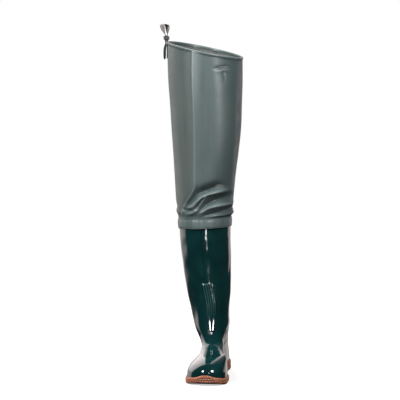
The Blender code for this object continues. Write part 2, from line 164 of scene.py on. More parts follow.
def curves_of(rows: Sequence[NamedTuple], key: str, *columns: str) -> list[SmoothColumn]:
    """Curves of some named columns of a table against its key column."""
    places = [getattr(row, key) for row in rows]
    return [SmoothColumn(places, [getattr(row, column) for row in rows]) for column in columns]


def loft(loops: Array, rows: int) -> Array:
    """Smooth surface through loops: cubic pieces up each column, at even steps of the mean path.

    Args:
        loops: points of shape (loops, columns, 3).
        rows: number of rows wanted.

    Returns:
        Points of shape (rows, columns, 3).
    """
    steps = np.linalg.norm(np.diff(loops, axis=0), axis=2).mean(axis=1)
    knots = np.concatenate(([0.0], np.cumsum(steps)))
    slopes = np.gradient(loops, knots, axis=0)
    places = np.linspace(0.0, knots[-1], rows)
    span = np.clip(np.searchsorted(knots, places, side="right") - 1, 0, len(steps) - 1)
    width = steps[span][:, None, None]
    t = ((places - knots[span]) / steps[span])[:, None, None]
    bend = t * (1.0 - t) ** 2 * slopes[span] - t * t * (1.0 - t) * slopes[span + 1]
    return mix(loops[span], loops[span + 1], smooth_step(t)) + width * bend


def grid_normals(grid: Array, ring: bool) -> Array:
    """Unit normals of a grid: the cross product of its differences along rows and round columns.

    Args:
        grid: points of shape (rows, columns, 3).
        ring: whether the last column meets the first.

    Returns:
        Normals of the same shape, on the side that faces outwards when rows run up.
    """
    if ring:
        across = np.roll(grid, -1, axis=1) - np.roll(grid, 1, axis=1)
    else:
        across = np.gradient(grid, axis=1)
    normals = np.cross(np.gradient(grid, axis=0), across)
    return normals / np.maximum(np.linalg.norm(normals, axis=2, keepdims=True), 1e-9)


def link(thing: bpy.types.Object) -> None:
    """Put an object into the scene."""
    bpy.context.scene.collection.objects.link(thing)


class Skin:
    """Faces gathered from grids and caps, to become one mesh object."""

    def __init__(self, name: str) -> None:
        """Start an empty piece with this name."""
        self.name = name
        self.points: list[Array] = []
        self.marks: list[dict[str, Array]] = []
        self.faces: list[Array] = []
        self.texture: list[Array] = []
        self.finish: list[Array] = []
        self.count = 0

    def add_points(self, points: Array, marks: Optional[dict[str, Array]] = None) -> Array:
        """Add points and give back their numbers in the same layout.

        Args:
            points: array whose last axis holds x, y and z in millimetres.
            marks: named values for each point that a finish reads.

        Returns:
            Point numbers, of the points' shape without the last axis.
        """
        shape = points.shape[:-1]
        size = int(np.prod(shape))
        self.points.append(points.reshape(-1, 3))
        marks = marks or {}
        self.marks.append({key: np.broadcast_to(value, shape).reshape(-1) for key, value in marks.items()})
        numbers = np.arange(self.count, self.count + size).reshape(shape)
        self.count += size
        return numbers

    def add_faces(self, corners: Array, texture: Optional[Array] = None, finish: int = 0) -> None:
        """Add faces that all have the same number of corners.

        Args:
            corners: point numbers of shape (faces, corners).
            texture: texture places in metres of shape (faces, corners, 2), or none.
            finish: number of the material that they show.
        """
        self.faces.append(corners)
        self.texture.append(np.zeros(corners.shape + (2,)) if texture is None else texture)
        self.finish.append(np.full(len(corners), finish))

    def add_grid(
        self,
        numbers: Array,
        ring: bool = False,
        loop: bool = False,
        texture: Optional[Array] = None,
        finish: int = 0,
    ) -> None:
        """Add the quads between neighbours of a grid of point numbers.

        Args:
            numbers: point numbers of shape (rows, columns).
            ring: whether the last column joins the first.
            loop: whether the last row joins the first.
            texture: texture places in metres, with a row or column more where the grid closes.
            finish: number of the material that they show.
        """
        if ring:
            numbers = np.concatenate((numbers, numbers[:, :1]), axis=1)
        if loop:
            numbers = np.concatenate((numbers, numbers[:1]), axis=0)
        self.add_faces(
            corners_of(numbers).reshape(-1, 4),
            None if texture is None else corners_of(texture).reshape(-1, 4, 2),
            finish,
        )

    def build(
        self, node: str, slot: str, finishes: Sequence[bpy.types.Material], sharp: float = 180.0
    ) -> None:
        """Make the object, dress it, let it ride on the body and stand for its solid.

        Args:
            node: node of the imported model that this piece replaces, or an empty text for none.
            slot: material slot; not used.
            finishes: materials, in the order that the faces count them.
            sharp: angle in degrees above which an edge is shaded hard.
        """
        mesh = bpy.data.meshes.new(self.name)
        corners = [face for block in self.faces for face in block.tolist()]
        mesh.from_pydata((np.concatenate(self.points) * MM).tolist(), [], corners)
        places = np.concatenate([block.reshape(-1, 2) for block in self.texture])
        mesh.uv_layers.new(name="surface").uv.foreach_set("vector", places.ravel().astype(np.float32))
        mesh.polygons.foreach_set("material_index", np.concatenate(self.finish).astype(np.int32))
        for key in sorted({key for block in self.marks for key in block}):
            parts = [block.get(key, np.zeros(len(points))) for block, points in zip(self.marks, self.points)]
            layer = mesh.attributes.new(key, "FLOAT", "POINT")
            layer.data.foreach_set("value", np.concatenate(parts).astype(np.float32))
        mesh.shade_smooth()
        if sharp < 180.0:
            mesh.set_sharp_from_angle(angle=math.radians(sharp))
        for finish in finishes:
            mesh.materials.append(finish)
        piece = bpy.data.objects.new(self.name, mesh)
        link(piece)
        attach(piece, BODY)
        if node:
            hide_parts(node)
        LOG.info("%s: %d faces", self.name, len(corners))


def corners_of(grid: Array) -> Array:
    """Corner values of each cell of a grid, in the order that faces outwards when rows run up."""
    return np.stack((grid[:-1, :-1], grid[1:, :-1], grid[1:, 1:], grid[:-1, 1:]), axis=2)


def texture_grid(across: Array, up: Array) -> Array:
    """Texture places in metres from distances in millimetres across and up a surface."""
    return np.stack(np.broadcast_arrays(across, up), axis=-1) * MM


def add_shell(skin: Skin, outer: Array, wall: float, inner_step: int, marks: dict[str, Array]) -> None:
    """Give a tube a wall: outer rows up, half-round top lip, inner rows down, half-round bottom lip.

    The inner wall is the outer one less the wall thickness along its normal.

    Args:
        skin: piece that takes the faces; material 0 goes outside and material 1 inside.
        outer: points of shape (rows, columns, 3), rows running up.
        wall: thickness in millimetres.
        inner_step: how many outer rows make one inner row.
        marks: named values for each outer point.
    """
    normal = grid_normals(outer, True)
    up = np.gradient(outer, axis=0)
    up /= np.linalg.norm(up, axis=2, keepdims=True)
    lip = np.linspace(0.0, math.pi, 6)[1:-1][:, None, None]
    half = wall / 2.0
    top = outer[-1] - normal[-1] * half + half * (np.cos(lip) * normal[-1] + np.sin(lip) * up[-1])
    low = outer[0] - normal[0] * half - half * (np.cos(lip) * normal[0] + np.sin(lip) * up[0])
    picked = np.unique(np.append(np.arange(0, len(outer), inner_step), len(outer) - 1))[::-1]
    inner = (outer - normal * wall)[picked]
    girth = np.linalg.norm(np.diff(outer, axis=1), axis=2).sum(axis=1).mean()
    across = np.linspace(0.0, girth, outer.shape[1] + 1)[None, :]

    outer_numbers = skin.add_points(outer, marks)
    rest_numbers = skin.add_points(np.concatenate((top, inner, low)))
    heights = np.concatenate((outer[..., 2], outer[:, :1, 2]), axis=1)
    skin.add_grid(outer_numbers, True, False, texture_grid(across, heights))
    lining = np.concatenate((outer_numbers[-1:], rest_numbers, outer_numbers[:1]))
    rest = np.concatenate((outer[-1:], top, inner, low, outer[:1]))
    heights = np.concatenate((rest[..., 2], rest[:, :1, 2]), axis=1)
    skin.add_grid(lining, True, False, texture_grid(across, heights), 1)


def add_slab(
    skin: Skin, top: Array, bottom: Array, texture: Array, marks: Optional[dict[str, Array]] = None
) -> None:
    """Close the space between two grids: top, bottom, two long sides and two ends.

    Args:
        skin: piece that takes the faces.
        top: points of shape (rows, columns, 3) on the side that rows cross columns points to.
        bottom: points of the same shape on the other side.
        texture: texture places in metres of the top, used on both sides.
        marks: named values for each point of the top, used on both sides.
    """
    both = {key: np.concatenate((value, value[:, ::-1]), axis=1) for key, value in (marks or {}).items()}
    ring = skin.add_points(np.concatenate((top, bottom[:, ::-1]), axis=1), both)
    around = np.concatenate((texture, texture[:, ::-1], texture[:, :1]), axis=1)
    skin.add_grid(ring, True, False, around)
    columns = top.shape[1]
    front, back = ring[:, :columns], ring[:, : columns - 1 : -1]
    for row, order in ((0, 1), (-1, -1)):
        cap = np.stack((front[row, :-1], front[row, 1:], back[row, 1:], back[row, :-1]), axis=-1)
        skin.add_faces(cap[:, ::order])


class PlanRow(NamedTuple):
    """Half widths of the foot's plan as shares of the ball width, at a share of its length."""

    share: float
    inner: float
    outer: float


class SoleRow(NamedTuple):
    """Heights of the sole at a share of its length."""

    share: float
    tread: float
    floor: float
    rim: float


class FootLoop(NamedTuple):
    """A slanted section of the boot's foot.

    Ends are shares of the length and heights are shares of the instep height; sag is the share of the sole's
    own dip; inner_in and outer_in are how far the sides lean in; oval blends the plan into a plain oval.
    """

    back: float
    front: float
    back_z: float
    front_z: float
    sag: float
    inner_in: float
    outer_in: float
    oval: float
    half_width: float
    back_round: float
    front_round: float
    swing: float
    lean: float


FOOT_PLAN = (
    PlanRow(0.00, 0.340, 0.340),
    PlanRow(0.12, 0.349, 0.349),
    PlanRow(0.24, 0.335, 0.349),
    PlanRow(0.38, 0.292, 0.368),
    PlanRow(0.52, 0.340, 0.425),
    PlanRow(0.64, 0.434, 0.486),
    PlanRow(0.73, 0.481, 0.505),
    PlanRow(0.83, 0.480, 0.497),
    PlanRow(0.92, 0.470, 0.472),
    PlanRow(1.00, 0.455, 0.440),
)
SOLE_PROFILE = (
    SoleRow(0.000, 0.0, 14.0, 25.0),
    SoleRow(0.270, 0.0, 13.5, 23.5),
    SoleRow(0.285, 6.0, 13.0, 23.0),
    SoleRow(0.360, 6.5, 12.0, 21.0),
    SoleRow(0.460, 4.0, 10.0, 17.5),
    SoleRow(0.520, 0.0, 9.0, 15.5),
    SoleRow(0.700, 0.0, 8.0, 14.0),
    SoleRow(0.800, 0.0, 8.5, 14.2),
    SoleRow(0.900, 0.3, 9.5, 15.0),
    SoleRow(0.950, 2.4, 12.0, 17.2),
    SoleRow(0.980, 4.0, 14.2, 19.8),
    SoleRow(1.000, 5.0, 15.5, 25.5),
)
UPPER_FOOT = (
    FootLoop(0.010, 0.981, 0.330, 0.322, 0.90, 4.0, 5.5, 0.00, 0.340, 33, 48, 6.0, 0),
    FootLoop(0.010, 0.959, 0.400, 0.405, 0.80, 5.0, 12.0, 0.00, 0.340, 33, 52, 6.0, 0),
    FootLoop(0.012, 0.918, 0.465, 0.475, 0.65, 6.0, 22.0, 0.00, 0.340, 33, 57, 6.0, 0),
    FootLoop(0.014, 0.853, 0.530, 0.525, 0.50, 7.5, 29.0, 0.05, 0.340, 34, 62, 6.0, 0),
    FootLoop(0.017, 0.760, 0.605, 0.556, 0.35, 8.5, 27.0, 0.15, 0.340, 35, 66, 6.0, 0),
    FootLoop(0.022, 0.660, 0.692, 0.605, 0.20, 9.0, 24.0, 0.30, 0.349, 36, 70, 5.0, 0),
    FootLoop(0.027, 0.573, 0.793, 0.675, 0.10, 8.5, 17.0, 0.50, 0.358, 38, 72, 5.5, -2),
    FootLoop(0.033, 0.522, 0.901, 0.780, 0.00, 7.0, 11.0, 0.75, 0.373, 42, 64, 5.0, -4),
    FootLoop(0.036, 0.497, 1.025, 0.900, 0.00, 0.0, 0.0, 1.00, 0.396, 50, 60, 4.2, -6),
)


@dataclass
class Last:
    """The form that the sole and the boot's foot are made on."""

    length: float = 292.0
    ball_width: float = 106.0
    instep_height: float = 121.0
    heel_centre: float = 34.0
    heel_round: float = 36.0
    toe_round: float = 46.0
    toe_swing: float = 6.0

    def __post_init__(self) -> None:
        """Make curves of the plan's and the profile's columns."""
        self.inner, self.outer = curves_of(FOOT_PLAN, "share", "inner", "outer")
        self.tread, self.floor, self.rim = curves_of(SOLE_PROFILE, "share", "tread", "floor", "rim")

    def points(self, x: Array, s: Array, z: Array) -> Array:
        """Stack coordinates as points, with s counted from the back of the heel towards the toe."""
        return np.stack(np.broadcast_arrays(x, self.heel_centre - s, z), axis=-1)

    def half_width(self, share: Array, angle: Array) -> Array:
        """Half width of the plan on the side that the angle is on, before its ends are closed."""
        return self.ball_width * np.where(np.sin(angle) >= 0.0, self.inner(share), self.outer(share))

    def sole_loop(self, angle: Array, inset: Array, height: Array) -> Array:
        """The sole's outline moved in by inset, at the given height."""
        t = along(angle)
        inset = np.broadcast_to(inset, np.broadcast(inset, angle).shape)
        back, front = inset, self.length - inset
        s = mix(back, front, t)
        mean_inset = inset.mean(axis=-1, keepdims=True)
        ends = round_off(s - back, self.heel_round - mean_inset)
        ends = ends * round_off(front - s, self.toe_round - mean_inset)
        half = (self.half_width(t, angle) - inset) * ends
        return self.points(np.sign(np.sin(angle)) * half + self.toe_swing * t**2, s, height)

    def foot_loop(self, angle: Array, row: FootLoop) -> Array:
        """A slanted section of the boot's foot, from the plan at the toe to a plain oval at the throat."""
        t = along(angle)
        back, front = row.back * self.length, row.front * self.length
        s = mix(back, front, t)
        share = s / self.length
        outer_lean = mix(row.inner_in, row.outer_in, smooth_step(t))
        plan = self.half_width(share, angle) - np.where(np.sin(angle) >= 0.0, row.inner_in, outer_lean)
        half = mix(plan, row.half_width * self.ball_width, row.oval)
        half = half * round_off(s - back, row.back_round) * round_off(front - s, row.front_round)
        dip = self.floor(share) - mix(self.floor(0.0), self.floor(1.0), share)
        z = self.instep_height * mix(row.back_z, row.front_z, t) + row.sag * dip
        return self.points(np.sign(np.sin(angle)) * half + row.swing * t**2 + row.lean, s, z)


class LegRow(NamedTuple):
    """An oval section of the leg.

    centre_s is measured from the back of the heel; shin_shift is how far the front of the oval lies to the
    inner side of its middle.
    """

    z: float
    half_width: float
    half_depth: float
    centre_x: float
    centre_s: float
    shin_shift: float = 0.0


LEG_SECTIONS = (
    LegRow(142.0, 46.0, 63.3, -9.0, 73.8, 5.9),
    LegRow(170.0, 49.5, 63.3, -12.0, 70.2, 6.5),
    LegRow(205.0, 55.0, 64.2, -15.0, 66.8, 3.6),
    LegRow(240.0, 57.8, 66.5, -18.0, 64.0, 1.2),
    LegRow(300.0, 62.0, 70.0, -22.5, 62.5),
    LegRow(350.0, 63.8, 71.5, -25.0, 62.0),
    LegRow(390.0, 65.2, 72.8, -26.3, 62.0),
    LegRow(404.0, 69.0, 75.5, -25.6, 62.0),
    LegRow(430.0, 70.5, 77.0, -26.5, 62.0),
    LegRow(490.0, 75.0, 81.0, -25.5, 62.0),
    LegRow(550.0, 80.6, 85.0, -23.5, 62.0),
    LegRow(612.0, 86.0, 89.0, -22.5, 62.0),
    LegRow(674.0, 89.0, 92.0, -23.5, 61.5),
    LegRow(736.0, 92.0, 94.0, -25.0, 61.0),
    LegRow(780.0, 92.5, 95.0, -25.7, 61.0),
    LegRow(840.0, 92.0, 95.5, -25.7, 61.0),
)


@dataclass
class Leg:
    """Ovals up the leg, with the slanted edges of collar and mouth."""

    heel_centre: float = 34.0
    collar_height: float = 386.0
    collar_overlap: float = 22.0
    collar_tilt: float = 3.0
    mouth_height: float = 807.0
    mouth_side_slant: float = 20.0
    mouth_back_rise: float = 6.0

    def __post_init__(self) -> None:
        """Make curves of the sections' columns."""
        self.half_width, self.half_depth = curves_of(LEG_SECTIONS, "z", "half_width", "half_depth")
        self.centre_x, self.centre_s = curves_of(LEG_SECTIONS, "z", "centre_x", "centre_s")
        (self.shin_shift,) = curves_of(LEG_SECTIONS, "z", "shin_shift")

    def ring(self, angle: Array, z: Array, out: Array) -> Array:
        """Points at an angle and height on the leg's ovals, moved outwards by out."""
        shift = self.shin_shift(z) * np.maximum(-np.cos(angle), 0.0) ** 2
        x = self.centre_x(z) + (self.half_width(z) + out) * np.sin(angle) + shift
        s = self.centre_s(z) - (self.half_depth(z) + out) * np.cos(angle)
        return np.stack(np.broadcast_arrays(x, self.heel_centre - s, z), axis=-1)

    def mm_per_degree(self, z: Array) -> Array:
        """Distance round the leg that one degree of turn covers."""
        return math.radians(1.0) * (self.half_width(z) + self.half_depth(z)) / 2.0

    def collar_low(self, angle: Array) -> Array:
        """Lower edge of the fabric on the boot, higher on the inner side."""
        return self.collar_height - self.collar_overlap + self.collar_tilt * np.sin(angle)

    def mouth(self, angle: Array) -> Array:
        """Edge of the mouth: high at the outer hip, low at the inner thigh, a little higher at the back."""
        side = self.mouth_height - self.mouth_side_slant * np.sin(angle)
        return side + self.mouth_back_rise * np.cos(angle)


class Run(Enum):
    """Which way a crease runs."""

    ROUND = "round the leg"
    UP = "up the leg"


class CreasePoint(NamedTuple):
    """A place on a crease, with the height of its ridge, or the depth of its trough below nought."""

    turn: float
    z: float
    height: float


@dataclass(frozen=True)
class Crease:
    """A soft ridge or trough: a bell across a smooth line.

    low_width is the bell's width below the line, or on its inner side where the crease runs up the leg;
    high_width is the width above it, or on its outer side.
    """

    run: Run
    low_width: float
    high_width: float
    points: tuple[CreasePoint, ...]

    def curves(self) -> list[SmoothColumn]:
        """The crease's line and its height as curves: against the turn, or the height z where it runs up."""
        key, other = ("turn", "z") if self.run is Run.ROUND else ("z", "turn")
        return curves_of(sorted(self.points, key=lambda point: getattr(point, key)), key, other, "height")

    def relief(self, turn: Array, z: Array, mm_per_degree: Array) -> Array:
        """Height of the crease: its own height along the line times a bell of the distance across it.

        Args:
            turn: degrees from the front.
            z: heights of the same points.
            mm_per_degree: distance round the leg that a degree covers there.

        Returns:
            Heights in millimetres.
        """
        middle = np.mean([point.turn for point in self.points])
        turn = (turn - middle + 180.0) % 360.0 - 180.0 + middle
        line, height = self.curves()
        place = turn if self.run is Run.ROUND else z
        slope = (line(place + 1.0) - line(place - 1.0)) / 2.0
        if self.run is Run.ROUND:
            slope, across = slope / mm_per_degree, z - line(turn)
        else:
            slope, across = slope * mm_per_degree, (turn - line(z)) * mm_per_degree
        across = across / np.sqrt(1.0 + slope * slope)
        return height(place) * bell(across / np.where(across < 0.0, self.low_width, self.high_width))


def crease(run: Run, low_width: float, high_width: float, *places: tuple[float, float, float]) -> Crease:
    """Short way to write a crease with its places."""
    return Crease(run, low_width, high_width, tuple(CreasePoint(*place) for place in places))


PRESS_LINE = crease(
    Run.UP, 3.0, 3.0,
    (9.5, 840, 1.5), (11, 780, 1.5), (12, 700, 1.3), (12, 600, 1.2), (12, 500, 1.2),
    (11.5, 470, 1.4), (20, 447, 1.6), (31, 430, 1.6), (43, 409, 1.4), (50, 390, 0.8),
)
LEG_CREASES = (
    PRESS_LINE,
    # The pressed strip beside the line, wide at the mouth
    crease(Run.UP, 17.0, 3.0, (9.5, 840, 2.6), (11, 780, 1.8), (12, 720, 0.6), (12, 680, 0.0)),
    # The press line at the back of the leg
    crease(Run.UP, 6.0, 6.0, (189, 840, 1.8), (190, 700, 1.6), (191, 560, 1.4), (188, 470, 0.0)),
    # Slack of the fabric up the thigh
    crease(Run.UP, 26.0, 20.0, (-40, 800, 0.0), (-38, 700, 1.6), (-36, 580, 2.2), (-40, 490, 0.0)),
    crease(Run.UP, 12.0, 14.0, (-15, 790, 0.0), (-12, 680, -1.2), (-10, 560, -1.6), (-8, 485, 0.0)),
    crease(Run.UP, 20.0, 14.0, (-78, 800, 0.0), (-74, 690, -2.0), (-76, 560, -1.6), (-84, 480, 0.0)),
    crease(Run.UP, 14.0, 20.0, (44, 800, 0.0), (42, 690, -1.2), (40, 560, -1.4), (36, 490, 0.0)),
    crease(Run.UP, 18.0, 24.0, (96, 790, 0.0), (98, 680, -2.2), (104, 560, -1.6), (110, 480, 0.0)),
    crease(Run.UP, 22.0, 18.0, (-128, 780, 0.0), (-126, 660, -2.4), (-130, 540, -1.8), (-134, 470, 0.0)),
    # Pinched dent of the inner thigh with the drag line under it
    crease(Run.ROUND, 3.0, 4.5, (-50, 760, 0.0), (-40, 762, -2.6), (-32, 761, -2.2), (-18, 758, 0.0)),
    crease(Run.ROUND, 3.0, 3.0, (-48, 755, 0.0), (-40, 756, 1.5), (-34, 755, 0.8), (-24, 752, 0.0)),
    crease(Run.UP, 3.0, 5.0, (-37, 759, 0.0), (-37, 750, -1.2), (-38, 737, -0.8), (-38, 720, 0.0)),
    # Knee: first trough and the roll under it
    crease(
        Run.ROUND, 6.0, 12.0,
        (-60, 471, 0.0), (-44, 470, -3.0), (-30, 467, -6.5), (-13, 460, -8.0), (5, 451, -7.2),
        (15, 438, -6.2), (28, 424, -4.8), (42, 416, 0.0),
    ),
    crease(
        Run.ROUND, 5.5, 5.0,
        (-66, 460, 0.0), (-42, 456, 4.0), (-13, 449, 5.6), (0, 439, 5.6), (9, 428, 4.8), (20, 417, 4.2),
        (33, 415, 0.0),
    ),
    # Knee: narrow split in the first roll and the thin roll beside it
    crease(Run.ROUND, 3.0, 3.0, (-10, 446, 0.0), (-3, 436, -2.6), (4, 424, -2.8), (11, 407, 0.0)),
    crease(
        Run.ROUND, 4.0, 4.0,
        (-14, 447, 0.0), (-8, 438, 2.6), (1, 422, 3.2), (6, 412, 2.8), (20, 402, 2.4), (40, 396, 0.0),
    ),
    # Knee: second trough and roll
    crease(
        Run.ROUND, 6.0, 10.0,
        (-86, 449, 0.0), (-56, 443, -6.0), (-30, 435, -6.5), (-13, 424, -5.0), (-1, 413, -2.6), (7, 405, 0.0),
    ),
    crease(
        Run.ROUND, 5.0, 5.0,
        (-98, 428, 0.0), (-66, 424, 4.6), (-37, 421, 4.8), (-16, 416, 4.2), (-3, 407, 2.6), (5, 401, 0.0),
    ),
    # Knee: third trough, and the roll that hangs over the band on the inner side
    crease(
        Run.ROUND, 4.0, 6.0,
        (-112, 415, 0.0), (-70, 411, -4.2), (-37, 405, -4.2), (-14, 399, -2.6), (-3, 396, 0.0),
    ),
    crease(
        Run.ROUND, 4.5, 4.0,
        (-118, 401, 0.0), (-82, 400, 3.2), (-45, 396, 2.6), (-20, 393, 1.4), (0, 391, 0.0),
    ),
    # Knee: small pocket on the outer side
    crease(Run.ROUND, 4.0, 5.0, (15, 413, 0.0), (26, 409, -3.6), (36, 410, -3.2), (46, 413, 0.0)),
    # Knee: outer side
    crease(Run.ROUND, 5.0, 9.0, (52, 424, 0.0), (76, 417, -1.4), (104, 424, -2.2), (132, 434, 0.0)),
    crease(Run.ROUND, 5.0, 5.0, (48, 404, 0.0), (74, 404, 1.4), (104, 409, 2.2), (134, 416, 0.0)),
    # Hollow of the knee at the back
    crease(
        Run.ROUND, 6.0, 11.0,
        (118, 450, 0.0), (150, 446, -4.6), (186, 452, -6.0), (222, 446, -5.0), (258, 454, 0.0),
    ),
    crease(
        Run.ROUND, 5.0, 5.0,
        (120, 432, 0.0), (152, 429, 4.0), (186, 434, 5.0), (220, 429, 4.0), (254, 436, 0.0),
    ),
    crease(
        Run.ROUND, 5.0, 8.0,
        (132, 418, 0.0), (164, 413, -4.2), (196, 416, -4.8), (232, 411, -3.6), (262, 414, 0.0),
    ),
    crease(
        Run.ROUND, 4.5, 4.0,
        (128, 401, 0.0), (160, 399, 3.0), (198, 400, 3.4), (238, 398, 2.6), (266, 400, 0.0),
    ),
    crease(Run.ROUND, 8.0, 14.0, (128, 486, 0.0), (160, 480, -2.6), (192, 484, -3.2), (230, 479, 0.0)),
)


class Clouds(NamedTuple):
    """A cloudy pattern that eases from start to end while its noise goes from low to high.

    scale is the number of clouds a metre, and squeeze the number of clouds upwards for each one across.
    """

    scale: float
    detail: float
    low: float
    high: float
    start: float
    end: float
    squeeze: float = 1.0


class Grain(NamedTuple):
    """A fine cloudy relief: clouds a metre, detail, strength, depth in metres, and squeeze as for clouds."""

    scale: float
    detail: float
    strength: float
    depth: float
    squeeze: float = 1.0


class Fade(NamedTuple):
    """An easing from start to end while a value goes from low to high."""

    low: float
    high: float
    start: float
    end: float


class Graph:
    """Shader nodes of a material or of the surround, added and joined in a few words."""

    def __init__(self, name: str, tree: Optional[bpy.types.NodeTree] = None) -> None:
        """Start a material with its plain shader, or take the nodes of the surround.

        Args:
            name: name of the new material.
            tree: nodes that exist already; without them a material is made.
        """
        if tree is None:
            self.material = bpy.data.materials.new(name)
            self.material.use_nodes = True
            tree = self.material.node_tree
            self.shader = tree.nodes["Principled BSDF"]
        self.tree = tree
        self.places = self.tree.nodes.new("ShaderNodeTexCoord").outputs
        self.object_place, self.surface_place = self.places["Object"], self.places["UV"]

    def feed(self, socket: bpy.types.NodeSocket, value: object) -> None:
        """Join a socket to another one, or set its value."""
        if isinstance(value, bpy.types.NodeSocket):
            self.tree.links.new(value, socket)
        else:
            socket.default_value = value

    def node(self, kind: str, inputs: dict, **settings: object) -> bpy.types.Node:
        """Add a node.

        Args:
            kind: Blender's name of the node.
            inputs: values or sockets for its inputs, by name or number.
            settings: its own properties.

        Returns:
            The new node.
        """
        node = self.tree.nodes.new(kind)
        for key, value in settings.items():
            setattr(node, key, value)
        for key, value in inputs.items():
            self.feed(node.inputs[key], value)
        return node

    def noise(self, scale: float, detail: float, squeeze: float = 1.0) -> bpy.types.NodeSocket:
        """Noise over the piece with about scale clouds a metre, and squeeze times as many upwards."""
        place = self.object_place
        if squeeze != 1.0:
            inputs = {"Vector": place, "Scale": (1.0, 1.0, squeeze)}
            place = self.node("ShaderNodeMapping", inputs).outputs["Vector"]
        inputs = {"Vector": place, "Scale": scale, "Detail": detail}
        return self.node("ShaderNodeTexNoise", inputs).outputs["Fac"]

    def cloudy(self, clouds: Clouds) -> bpy.types.NodeSocket:
        """Values of a cloudy pattern."""
        noise = self.noise(clouds.scale, clouds.detail, clouds.squeeze)
        return self.rescale(noise, clouds.low, clouds.high, clouds.start, clouds.end)

    def grained(self, grain: Grain, under: object = None) -> bpy.types.NodeSocket:
        """Relief of a fine grain, laid over another relief where there is one."""
        noise = self.noise(grain.scale, grain.detail, grain.squeeze)
        return self.bump(noise, grain.strength, grain.depth, under)

    def math(self, operation: str, *values: object) -> bpy.types.NodeSocket:
        """Result of a sum of one to three values."""
        return self.node("ShaderNodeMath", dict(enumerate(values)), operation=operation).outputs[0]

    def rescale(
        self, value: object, low: float, high: float, start: float, end: float
    ) -> bpy.types.NodeSocket:
        """Ease a value from start to end as it goes from low to high."""
        inputs = {"Value": value, "From Min": low, "From Max": high, "To Min": start, "To Max": end}
        return self.node("ShaderNodeMapRange", inputs, interpolation_type="SMOOTHSTEP").outputs["Result"]

    def blend(self, share: object, first: object, second: object) -> bpy.types.NodeSocket:
        """Colour between two colours."""
        inputs: dict = {0: share}
        for number, colour in ((6, first), (7, second)):
            inputs[number] = colour if isinstance(colour, bpy.types.NodeSocket) else (*colour, 1.0)
        return self.node("ShaderNodeMix", inputs, data_type="RGBA").outputs[2]

    def mark(self, name: str) -> bpy.types.NodeSocket:
        """Value that the mesh keeps at each point."""
        return self.node("ShaderNodeAttribute", {}, attribute_name=name).outputs["Fac"]

    def axis(self, place: bpy.types.NodeSocket, name: str) -> bpy.types.NodeSocket:
        """One coordinate of a place."""
        return self.node("ShaderNodeSeparateXYZ", {"Vector": place}).outputs[name]

    def dot(self, place: bpy.types.NodeSocket, direction: Vector) -> bpy.types.NodeSocket:
        """How far a place lies in a direction."""
        inputs = {0: place, 1: direction}
        return self.node("ShaderNodeVectorMath", inputs, operation="DOT_PRODUCT").outputs["Value"]

    def ripple(self, place: bpy.types.NodeSocket, axis: str, pitch: float) -> bpy.types.NodeSocket:
        """Sine wave along one axis, from -1 to 1, with a pitch in metres."""
        phase = self.math("MULTIPLY", self.axis(place, axis), FULL_TURN / pitch)
        return self.math("SINE", phase)

    def weave(self, pitch: float) -> bpy.types.NodeSocket:
        """Threads in two directions over the surface: the product of two sine waves."""
        place = self.surface_place
        return self.math("MULTIPLY", self.ripple(place, "X", pitch), self.ripple(place, "Y", pitch))

    def bump(
        self, height: bpy.types.NodeSocket, strength: float, depth: float, under: object = None
    ) -> bpy.types.NodeSocket:
        """Relief in the shading: depth is its full height in metres."""
        inputs = {"Height": height, "Strength": strength, "Distance": depth}
        if under is not None:
            inputs["Normal"] = under
        return self.node("ShaderNodeBump", inputs).outputs["Normal"]

    def finish(self, **sockets: object) -> bpy.types.Material:
        """Feed the shader's own sockets and give back the material."""
        for key, value in sockets.items():
            self.feed(self.shader.inputs[key.replace("_", " ")], value)
        return self.material


@dataclass(frozen=True)
class GumRubber:
    """Matt gum rubber: warm brown with redder clouds and pale rub marks, plus painted highlight and shade."""

    colour: Colour = (0.420, 0.148, 0.074)
    red: Colour = (0.340, 0.088, 0.045)
    pale: Colour = (0.470, 0.250, 0.165)
    # Painted shade: the gap colour between the studs, the next one low on the sole and round its sides
    gap: Colour = (0.195, 0.054, 0.026)
    sole_shade_colour: Colour = (0.090, 0.050, 0.036)
    clouds: Clouds = Clouds(34.0, 3.0, 0.40, 0.66, 0.0, 0.75)
    rub_marks: Clouds = Clouds(120.0, 4.0, 0.52, 0.74, 0.0, 0.55)
    grain: Grain = Grain(1300.0, 3.0, 0.25, 0.0003)
    stud_highlight_share: float = 0.5
    sole_shade_share: float = 0.75
    roughness: Fade = Fade(0.0, 1.0, 0.50, 0.66)

    def material(self) -> bpy.types.Material:
        """Mix the clouds and rub marks, then painted stud highlight and painted shade, with a fine grain."""
        graph = Graph("gum_rubber_look")
        clouds = graph.cloudy(self.clouds)
        colour = graph.blend(clouds, self.colour, self.red)
        colour = graph.blend(graph.cloudy(self.rub_marks), colour, self.pale)
        # Painted highlight on the stud tops; painted shade between them, low on the sole and round its sides
        colour = graph.blend(graph.math("MULTIPLY", graph.mark("stud"), self.stud_highlight_share), colour, self.pale)
        colour = graph.blend(graph.mark("gap"), colour, self.gap)
        colour = graph.blend(graph.math("MULTIPLY", graph.mark("dirt"), self.sole_shade_share), colour, self.sole_shade_colour)
        return graph.finish(
            Base_Color=colour,
            Roughness=graph.rescale(clouds, *self.roughness),
            Normal=graph.grained(self.grain),
            Specular_IOR_Level=0.40,
        )


